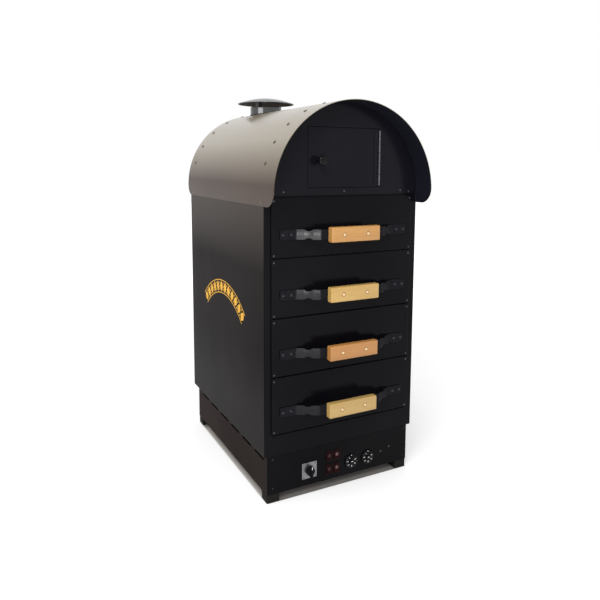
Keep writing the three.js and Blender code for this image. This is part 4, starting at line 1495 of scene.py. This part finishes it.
@dataclass
class Rocker(Assembly):
    """A rocker switch: bezel on the panel, and a rocker with a hollow face that stands tilted."""

    number: int = 1
    x: float = -39.75
    z: float = 98.0
    finish: Finish = RED_PLASTIC
    tilt: float = math.radians(7)
    pivot: float = 7.0
    half_wide: float = 9.4
    half_tall: float = 12.7
    proud: float = 6.5
    dish: float = 1.5
    # how far above the rocker's middle the painted highlight's disc sits
    highlight_rise: float = 1.0
    lip: Pair = (12.4, 16.6)
    lip_span: Pair = (3.0, 4.7)
    cup_span: Pair = (24.2, 25.0)

    def rocker(self) -> Shell:
        """The rocker: rounded rectangles stacked from its back to its rim, then in over the hollow face.

        The face lies behind the rim by dish (1 - (z / half height)^2), and all of it is turned by the tilt.

        Returns:
            The closed rocker, in its place.
        """
        box = box_round(at(0, 0, 0), self.half_wide, self.half_tall, (0.0, 0.0))
        profile = [(0.6, 3.9), (0.0, 3.2), (0.0, -self.proud + 1.2), (0.35, -self.proud + 0.4), (1.1, -self.proud)]
        profile += [(inset, -self.proud + 0.02 * inset) for inset in (1.8, 3.2, 4.8, 6.4, 8.0, 9.2)]
        points = rings(*box, 1, 1.6, profile)
        face = np.arange(len(profile)) >= 2
        hollow = self.dish * (1 - (points[..., 2] / self.half_tall) ** 2)
        points[..., 1] += np.where(face[:, None], hollow, 0)
        return Shell().grid(points @ rotation(0, -self.tilt).T + at(self.x, self.pivot, self.z))

    def bezel(self) -> Shell:
        """The housing: lip on the panel, sleeve through it, and the open cup that the rocker stands in.

        Returns:
            The closed housing.
        """
        (front, seat), (floor, back) = self.lip_span, self.cup_span
        box = box_round(at(self.x, 0, self.z), *self.lip, (front, back))
        profile = [(1.9, back), (1.9, seat), (0.0, seat), (0.0, front + 0.8), (0.25, front + 0.25), (0.8, front)]
        profile += [(2.1, front), (2.6, front + 0.3), (2.7, front + 0.8), (2.7, floor), (9.0, floor)]
        shell = Shell()
        for outline in (profile, [(1.9, back), (9.0, back)]):
            shell.grid(rings(*box, 1, 2.6, outline), caps=(False, True))
        return shell

    def lens(self) -> Shell:
        """The low domed disc in the middle of the rocker, in a colour that paints its highlight.

        Returns:
            The disc's dome.
        """
        profile = [(5.4, -0.5), (5.3, 0.1), (4.6, 0.5), (3.0, 0.8), (1.5, 0.9), (0.01, 0.95)]
        hub = at(self.x, self.pivot - self.proud + self.dish - 0.1, self.z + self.highlight_rise)
        return Shell().grids(turned(profile, hub, -Y, 24), (False, True))

    def build(self) -> None:
        """Makes housing and rocker."""
        self.show(f"rocker_bezel_{self.number}", self.bezel(), BEZEL_PLASTIC, f"rocker_housing_{self.number}")
        self.body = f"rocker_switch_{self.number}"
        self.show(f"rocker_cap_{self.number}", self.rocker(), self.finish, f"rocker_{self.number}")
        # painted highlight: a paler disc on the brighter rockers, a dimmer one on the others
        lens = PALE_HIGHLIGHT_DISC if self.finish is HIGHLIT_RED_PLASTIC else DIM_HIGHLIGHT_DISC
        self.show(f"rocker_lens_{self.number}", self.lens(), lens)


@dataclass
class Panel(Assembly):
    """The control panel's plate with its pilot lamps and screws."""

    face: float = 5.0
    lamps: tuple[Pair, ...] = ((143.0, 72.0), (174.0, 81.0))
    screw: float = 2.8
    screws: tuple[Pair, ...] = ((-222.0, 42.0), (227.0, 41.0), (-222.0, 128.0), (227.0, 128.0))
    dials: Pair = (36.0, 95.0)
    rockers: tuple[Pair, ...] = ((-39.75, 98.0), (-14.25, 98.0), (-39.75, 57.0), (-14.25, 57.0))

    def build(self) -> None:
        """Makes plate details and all controls; the right rockers get the brighter red and the paler disc, a stronger
        painted highlight.
        """
        self.dress(PANEL_ENAMEL, "control_panel", edge=0.3)
        self.dress(ZINC, "thermostat_1", "thermostat_2")
        places = np.array([at(x, self.face, z) for x, z in self.screws])
        self.show("panel_screws", heads(Head.CROSS, self.screw, places, -Y), BOLT_ENAMEL)
        hubs = np.array([at(x, self.face, z) for x, z in self.lamps])
        ring = [(5.4, 0.0), (5.4, 0.7), (5.0, 1.1), (4.2, 1.2), (4.0, 0.6)]
        self.show("lamp_rims", Shell().grids(turned(ring, hubs, -Y, 32), (False, False)), BEZEL_PLASTIC)
        lens = [(4.1, 0.3), (4.0, 1.2), (3.6, 2.0), (2.6, 2.7), (1.3, 3.0), (0.01, 3.1)]
        self.show("lamp_lenses", Shell().grids(turned(lens, hubs, -Y, 32), (False, True)), LAMP_PLASTIC)
        Selector().build()
        for number, x in enumerate(self.dials, 1):
            Dial(number=number, x=x, body=f"dial_{number}").build()
        for number, (x, z) in enumerate(self.rockers, 1):
            # the right column's rockers take the brighter red: painted highlight
            Rocker(number=number, x=x, z=z, finish=RED_PLASTIC if number % 2 else HIGHLIT_RED_PLASTIC).build()


# ==== Cabinet, door, plinth and inside ====


@dataclass
class Ornament(Assembly):
    """An arched border of gold film on the left side: lozenges and beads between two rails."""

    plane: float = -250.0
    middle: float = 322.0
    crown: float = 589.0
    bend: float = 273.0
    tall: float = 43.0
    lozenge: Pair = (25.0, 34.0)
    bead: Pair = (6.0, 6.0)
    bead_rise: float = 11.0
    rail: float = 2.6
    count: int = 12
    step: float = math.radians(7.3)
    overlap: float = 0.36
    film: float = 0.12

    def lay(self, flat: np.ndarray, angle: float | np.ndarray) -> np.ndarray:
        """Places points on the panel, on both faces of the film.

        Args:
            flat: Array [n, 2]: how far each point is along the arc and above the border's middle line.
            angle: Where that is, clockwise from the crown: the point is turned by it about the arc's centre.

        Returns:
            Array [2, n, 3].
        """
        radius = flat[:, 1] + self.bend - self.tall / 2
        y = self.middle - (flat[:, 0] * np.cos(angle) + radius * np.sin(angle))
        z = self.crown - self.bend + (radius * np.cos(angle) - flat[:, 0] * np.sin(angle))
        planes = [np.full(len(flat), self.plane - lift) for lift in (0.0, self.film)]
        return np.stack([np.stack([x, y, z], axis=1) for x in planes])

    def motif(self, size: Pair, rise: float, power: float) -> np.ndarray:
        """Outline with points (a sign(cos t) |cos t|^p, b sign(sin t) |sin t|^p): round for 1, a lozenge near 2.

        Args:
            size: Its length along the arc and its height.
            rise: How far its middle lies above the middle line.
            power: The power p.

        Returns:
            Array [24, 2].
        """
        turn = np.linspace(0, 2 * np.pi, 24, endpoint=False)
        wave = np.stack([np.cos(turn), np.sin(turn)], axis=1)
        return np.sign(wave) * np.abs(wave) ** power * np.array(size) / 2 + np.array([0, rise])

    def build(self) -> None:
        """Lays lozenges along the arc, a pair of beads between each two, and the rails."""
        shell = Shell()
        places = (np.arange(self.count) - (self.count - 1) / 2) * self.step
        for angle in places:
            shell.grid(self.lay(self.motif(self.lozenge, 0.0, 1.6), angle))
        for angle in (places[1:] + places[:-1]) / 2:
            for side in (-1, 1):
                shell.grid(self.lay(self.motif(self.bead, side * self.bead_rise, 1.0), angle))
        over = self.overlap * self.step
        reach = np.linspace(places[0] - over, places[-1] + over, 80)
        for side in (-1, 1):
            rises = (side * self.tall / 2, side * self.tall / 2 - side * self.rail)
            edges = [self.lay(np.tile([0.0, rise], (len(reach), 1)), reach) for rise in rises]
            shell.grid(np.stack([edges[0][0], edges[0][1], edges[1][1], edges[1][0]], axis=1))
        self.show("side_ornament", shell, GOLD_FILM)


@dataclass
class Cabinet(Assembly):
    """Side panels, back, front frame with its ledge, ornament and the screws at the back."""

    rear: float = 650.0
    sheet_rear: float = 648.2
    screw: float = 3.6
    edge_screws: Triple = (242.0, 160.0, 850.0)

    def build(self) -> None:
        """Dresses the sheets and adds the details."""
        self.dress(SIDE_ENAMEL, "side_panel_left", "side_panel_right", edge=0.5)
        self.dress(SIDE_ENAMEL, "back_panel", edge=0.3)
        self.dress(FRONT_ENAMEL, "front_frame", edge=0.3)
        across, low, high = self.edge_screws
        places = mirrored([across], self.rear, np.linspace(low, high, 7))
        self.show("back_edge_screws", heads(Head.CROSS, self.screw, places, Y), DULL_ZINC)
        places = np.array([at(x, self.sheet_rear, z) for x in np.linspace(-200, 200, 5) for z in (150, 860)])
        self.show("back_panel_screws", heads(Head.CROSS, self.screw, places, Y, 0.9), DULL_ZINC)
        Ornament().build()


@dataclass
class Door(Assembly):
    """The warming compartment's door, its long hinge and the pull knob."""

    body: str = "door"
    left: float = -118.0
    right: float = 112.0
    bottom: float = 891.0
    top: float = 1056.0
    axis_x: float = 112.6
    axis_y: float = -3.3
    hinge_bottom: float = 895.0
    hinge_top: float = 1052.0
    knuckle: float = 3.0
    knuckles: int = 5
    leaf: float = 14.0
    leaf_start: float = 3.4
    leaf_span: Pair = (-1.5, -0.3)
    sheet: float = 1.5
    screws: tuple[float, ...] = (909.0, 938.0, 974.0, 1010.0, 1038.0)
    knob_x: float = -85.0
    knob_z: float = 965.0

    def leaf_shells(self, side: float, first: int) -> tuple[Shell, Shell]:
        """One leaf: a flat strip with a cheek to each second barrel, and those barrels.

        Args:
            side: -1 for the leaf on the door, 1 for the one on the gable.
            first: The lowest barrel that belongs to it.

        Returns:
            The leaf and its barrels.
        """
        inner, outer = (self.axis_x + side * way for way in (self.leaf_start, self.leaf_start + self.leaf))
        front, back = self.leaf_span
        shell, barrels = Shell(), Shell()
        low, high = sorted((inner, outer))
        shell.grid(soft_block(at(low, front, self.hinge_bottom), at(high, back, self.hinge_top), 1, 1.0, (0.3, 0.1)))
        pitch, wide = (self.hinge_top - self.hinge_bottom) / self.knuckles, self.knuckle
        turn = [(0.6, 0.0), (wide - 0.4, 0.0), (wide, 0.35), (wide, pitch - 0.75), (wide - 0.4, pitch - 0.4)]
        turn += [(0.6, pitch - 0.4)]
        for index in range(first, self.knuckles, 2):
            start = self.hinge_bottom + index * pitch + 0.2
            barrels.grids(turned(turn, at(self.axis_x, self.axis_y, start), Z, 24))
            near, far = sorted((self.axis_x, inner + side * 0.3))
            cheek = soft_block(at(near, front, start + 1.2), at(far, back, start + pitch - 1.6), 1, 0.3, (0.2, 0.1))
            shell.grid(cheek)
        return shell, barrels

    def build(self) -> None:
        """Makes panel, leaves and knob."""
        low, high = at(self.left, 0, self.bottom), at(self.right, self.sheet, self.top)
        self.show("door_panel", Shell().grid(soft_block(low, high, 1, 1.5, (0.3, 0.3))), GABLE_ENAMEL, "warming_door")
        leaf, barrels = self.leaf_shells(-1, 1)
        self.show("door_leaf", leaf, GABLE_ENAMEL)
        self.show("door_barrels", barrels, HINGE_ENAMEL)
        knob = [(6.0, 0.3), (6.0, 1.2), (5.2, 2.4), (5.0, 9), (5.4, 12.5), (7.5, 15.5), (11.2, 18.0), (13.4, 21.0)]
        knob += [(14.0, 24.0), (13.8, 26.6), (12.6, 29.2), (10.2, 30.9), (7.0, 31.7), (3.5, 31.95), (0.01, 32.0)]
        shell = Shell().grids(turned(knob, at(self.knob_x, 0, self.knob_z), -Y, 48), (True, True))
        self.show("door_pull", shell, PULL_PLASTIC, "door_knob")
        self.body = "cabinet"
        leaf, barrels = self.leaf_shells(1, 0)
        self.show("frame_leaf", leaf, GABLE_ENAMEL, "door_hinge")
        self.show("frame_barrels", barrels, HINGE_ENAMEL, "door_hinge")
        places = np.array([at(self.axis_x + 10, self.leaf_span[0], z) for z in self.screws])
        self.show("frame_leaf_screws", heads(Head.CROSS, 2.6, places, -Y), GABLE_ENAMEL)


@dataclass
class Base(Assembly):
    """Plinth, feet, and what stands in the plinth."""

    def build(self) -> None:
        """Dresses the plinth and makes the feet."""
        self.dress(PLINTH_ENAMEL, "plinth_shell", edge=0.3)
        self.dress(TERMINAL_PLASTIC, "terminal_block", edge=0.6)
        self.dress(BEZEL_PLASTIC, "cable_gland")
        for end in ("front", "rear"):
            for side in ("left", "right"):
                node = f"foot_{end}_{side}"
                low, high = node_box(node)
                shell = Shell().grid(soft_block(low, high, 2, 5.0, (1.5, 0.8)))
                self.show(f"rubber_{end}_{side}", shell, FOOT_RUBBER, node)


@dataclass
class Inside(Assembly):
    """The oven chamber, its racks and elements, the wool round it and the floors above and below."""

    def build(self) -> None:
        """Dresses the pieces."""
        self.dress(CHAMBER_STEEL, "oven_chamber", "runner_rack_left", "runner_rack_right")
        self.dress(TRAY_STEEL, "body_floor", "warming_shelf")
        self.dress(WOOL, "insulation_wrap")
        self.dress(ELEMENT_STEEL, *(f"heating_element_{number}" for number in range(1, 5)))


# ==== Studio ====


@dataclass(frozen=True)
class Lamp:
    """A soft box: where it stands, its size in metres and how bright its face is."""

    name: str
    place: Triple
    size: Pair
    radiance: float


@dataclass
class Studio:
    """Floor, surroundings, lamps and camera."""

    sky: float = 0.7
    near_glow: float = 0.26
    far_glow: float = 0.4
    glow: Pair = (1.2, 3.0)
    # Painted shadow on the floor under the oven: its footprint's half width and depth, soft edge, darker rim, and
    # colours.
    shadow_patch: Pair = (0.238, 0.2962)
    shadow_patch_edge: float = 0.004
    shadow_patch_rim: float = 0.045
    floor_half: float = 12.0
    floor_drop: float = 0.05 * MM
    floor_colour: Triple = (0.86, 0.86, 0.86)
    shadow_patch_colour: Triple = (0.55, 0.52, 0.49)
    rim_shadow_colour: Triple = (0.155, 0.147, 0.137)
    aim: Triple = (0.0, 0.0, 0.6)
    eye: Triple = (-0.8845, -1.7758, 0.9602)
    yaw: float = math.radians(28.053)
    pitch: float = math.radians(-7.194)
    roll: float = math.radians(0.404)
    lens: float = 36.405
    shift: Pair = (-0.0225, -0.1019)
    lamps: tuple[Lamp, ...] = (
        Lamp("key", (-1.4, -2.2, 2.9), (1.6, 1.6), 7.0),
        Lamp("low", (-1.5, -3.0, 0.55), (0.7, 0.5), 7.0),
        Lamp("window", (-2.75, -1.1, 1.4), (2.0, 0.5), 6.0),
        Lamp("top", (-0.4, 0.2, 3.2), (2.4, 2.4), 0.8),
    )

    @staticmethod
    def seen_directly(graph: Graph) -> Signal:
        """1 for rays from the camera and for mirrored or refracted ones, 0 for soft light.

        Args:
            graph: The tree it is for.

        Returns:
            The share.
        """
        kinds = ("Camera", "Glossy", "Transmission")
        first, second, third = (graph.node("ShaderNodeLightPath", {}, {}, f"Is {kind} Ray") for kind in kinds)
        return (first + second + third).at_most(1.0)

    def make_world(self) -> None:
        """White where it is seen, a little darker as light."""
        world = bpy.data.worlds.new("room")
        world.use_nodes = True
        graph = Graph(world.node_tree)
        strength = self.seen_directly(graph) * (1.0 - self.sky) + self.sky
        shader = graph.node("ShaderNodeBackground", {}, {"Color": (1, 1, 1), "Strength": strength})
        graph.end(shader, "ShaderNodeOutputWorld")
        bpy.context.scene.world = world

    def make_floor(self) -> None:
        """A wide pale floor that glows where it is seen, more the further away, and carries a painted shadow under
        the oven.

        The painted shadow is darkest at the front and rear rim of the oven's footprint.
        """
        mesh = bpy.data.meshes.new("floor")
        corner = np.array([(-1, -1, 0), (1, -1, 0), (1, 1, 0), (-1, 1, 0)], float) * self.floor_half
        mesh.from_pydata((corner - Z * self.floor_drop).tolist(), [], [(0, 1, 2, 3)])
        floor = bpy.data.objects.new("floor", mesh)
        bpy.context.scene.collection.objects.link(floor)
        material = bpy.data.materials.new("floor")
        material.use_nodes = True
        graph = Graph(material.node_tree)
        away = graph.node("ShaderNodeVectorMath", {"operation": "LENGTH"}, {0: graph.coordinates()}, "Value")
        across, along = (graph.place(axis).math("ABSOLUTE") for axis in "XY")
        # painted shadow: darker floor colour inside the oven's footprint, darkest at its front and rear rim
        wide, deep = self.shadow_patch
        beyond = across.between(wide, wide + self.shadow_patch_edge) + along.between(deep, deep + self.shadow_patch_edge)
        outside_shadow = beyond.at_most(1.0)
        shadow_patch = graph.blend(along.between(deep - self.shadow_patch_rim, deep), self.shadow_patch_colour, self.rim_shadow_colour)
        glow = away.between(*self.glow) * self.far_glow + outside_shadow * self.near_glow
        graph.surface(
            Base_Color=graph.blend(outside_shadow, shadow_patch, self.floor_colour),
            Roughness=0.9,
            Specular_IOR_Level=0.0,
            Emission_Color=(1.0, 1.0, 1.0),
            Emission_Strength=self.seen_directly(graph) * glow,
        )
        mesh.materials.append(material)

    def make_lamp(self, lamp: Lamp) -> None:
        """An area lamp that faces the oven; its power is radiance times pi times area.

        Args:
            lamp: Which lamp.
        """
        data = bpy.data.lights.new(lamp.name, "AREA")
        data.shape, (data.size, data.size_y) = "RECTANGLE", lamp.size
        data.energy = lamp.radiance * math.pi * lamp.size[0] * lamp.size[1]
        made = bpy.data.objects.new(lamp.name, data)
        made.location = lamp.place
        made.rotation_euler = (Vector(self.aim) - Vector(lamp.place)).to_track_quat("-Z", "Y").to_euler()
        bpy.context.scene.collection.objects.link(made)

    def make_camera(self) -> None:
        """The camera that took the photograph."""
        level = math.cos(self.pitch)
        ahead = at(math.sin(self.yaw) * level, math.cos(self.yaw) * level, math.sin(self.pitch))
        side = at(math.cos(self.yaw), -math.sin(self.yaw), 0)
        up = np.cross(side, ahead)
        right = math.cos(self.roll) * side + math.sin(self.roll) * up
        above = math.cos(self.roll) * up - math.sin(self.roll) * side
        data = bpy.data.cameras.new("camera")
        data.lens, (data.shift_x, data.shift_y) = self.lens, self.shift
        made = bpy.data.objects.new("camera", data)
        turn = Matrix(np.stack([right, above, -ahead], axis=1).tolist()).to_4x4()
        made.matrix_world = Matrix.Translation(self.eye) @ turn
        bpy.context.scene.collection.objects.link(made)
        bpy.context.scene.camera = made

    def build(self) -> None:
        """Sets everything up."""
        self.make_world()
        self.make_floor()
        for lamp in self.lamps:
            self.make_lamp(lamp)
        self.make_camera()
        bpy.context.scene.view_settings.view_transform = "Standard"


# ==== The oven ====


def main() -> None:
    """Builds every assembly, then the studio."""
    logging.basicConfig(level=logging.INFO, format="%(name)s %(message)s")
    # The third and fourth grips take the darker copies of the woods: painted shade.
    drawers = [
        Drawer(body=f"drawer_{n}", number=n, floor=205.3 + 166 * (4 - n), wood=wood)
        for n, wood in enumerate((ORANGE_WOOD, YELLOW_WOOD, ORANGE_WOOD_SHADED, YELLOW_WOOD_SHADED), 1)
    ]
    for part in (Hood(), Flue(), *drawers, Panel(), Cabinet(), Door(), Base(), Inside(), Studio()):
        part.build()


if __name__ == "__main__":
    main()
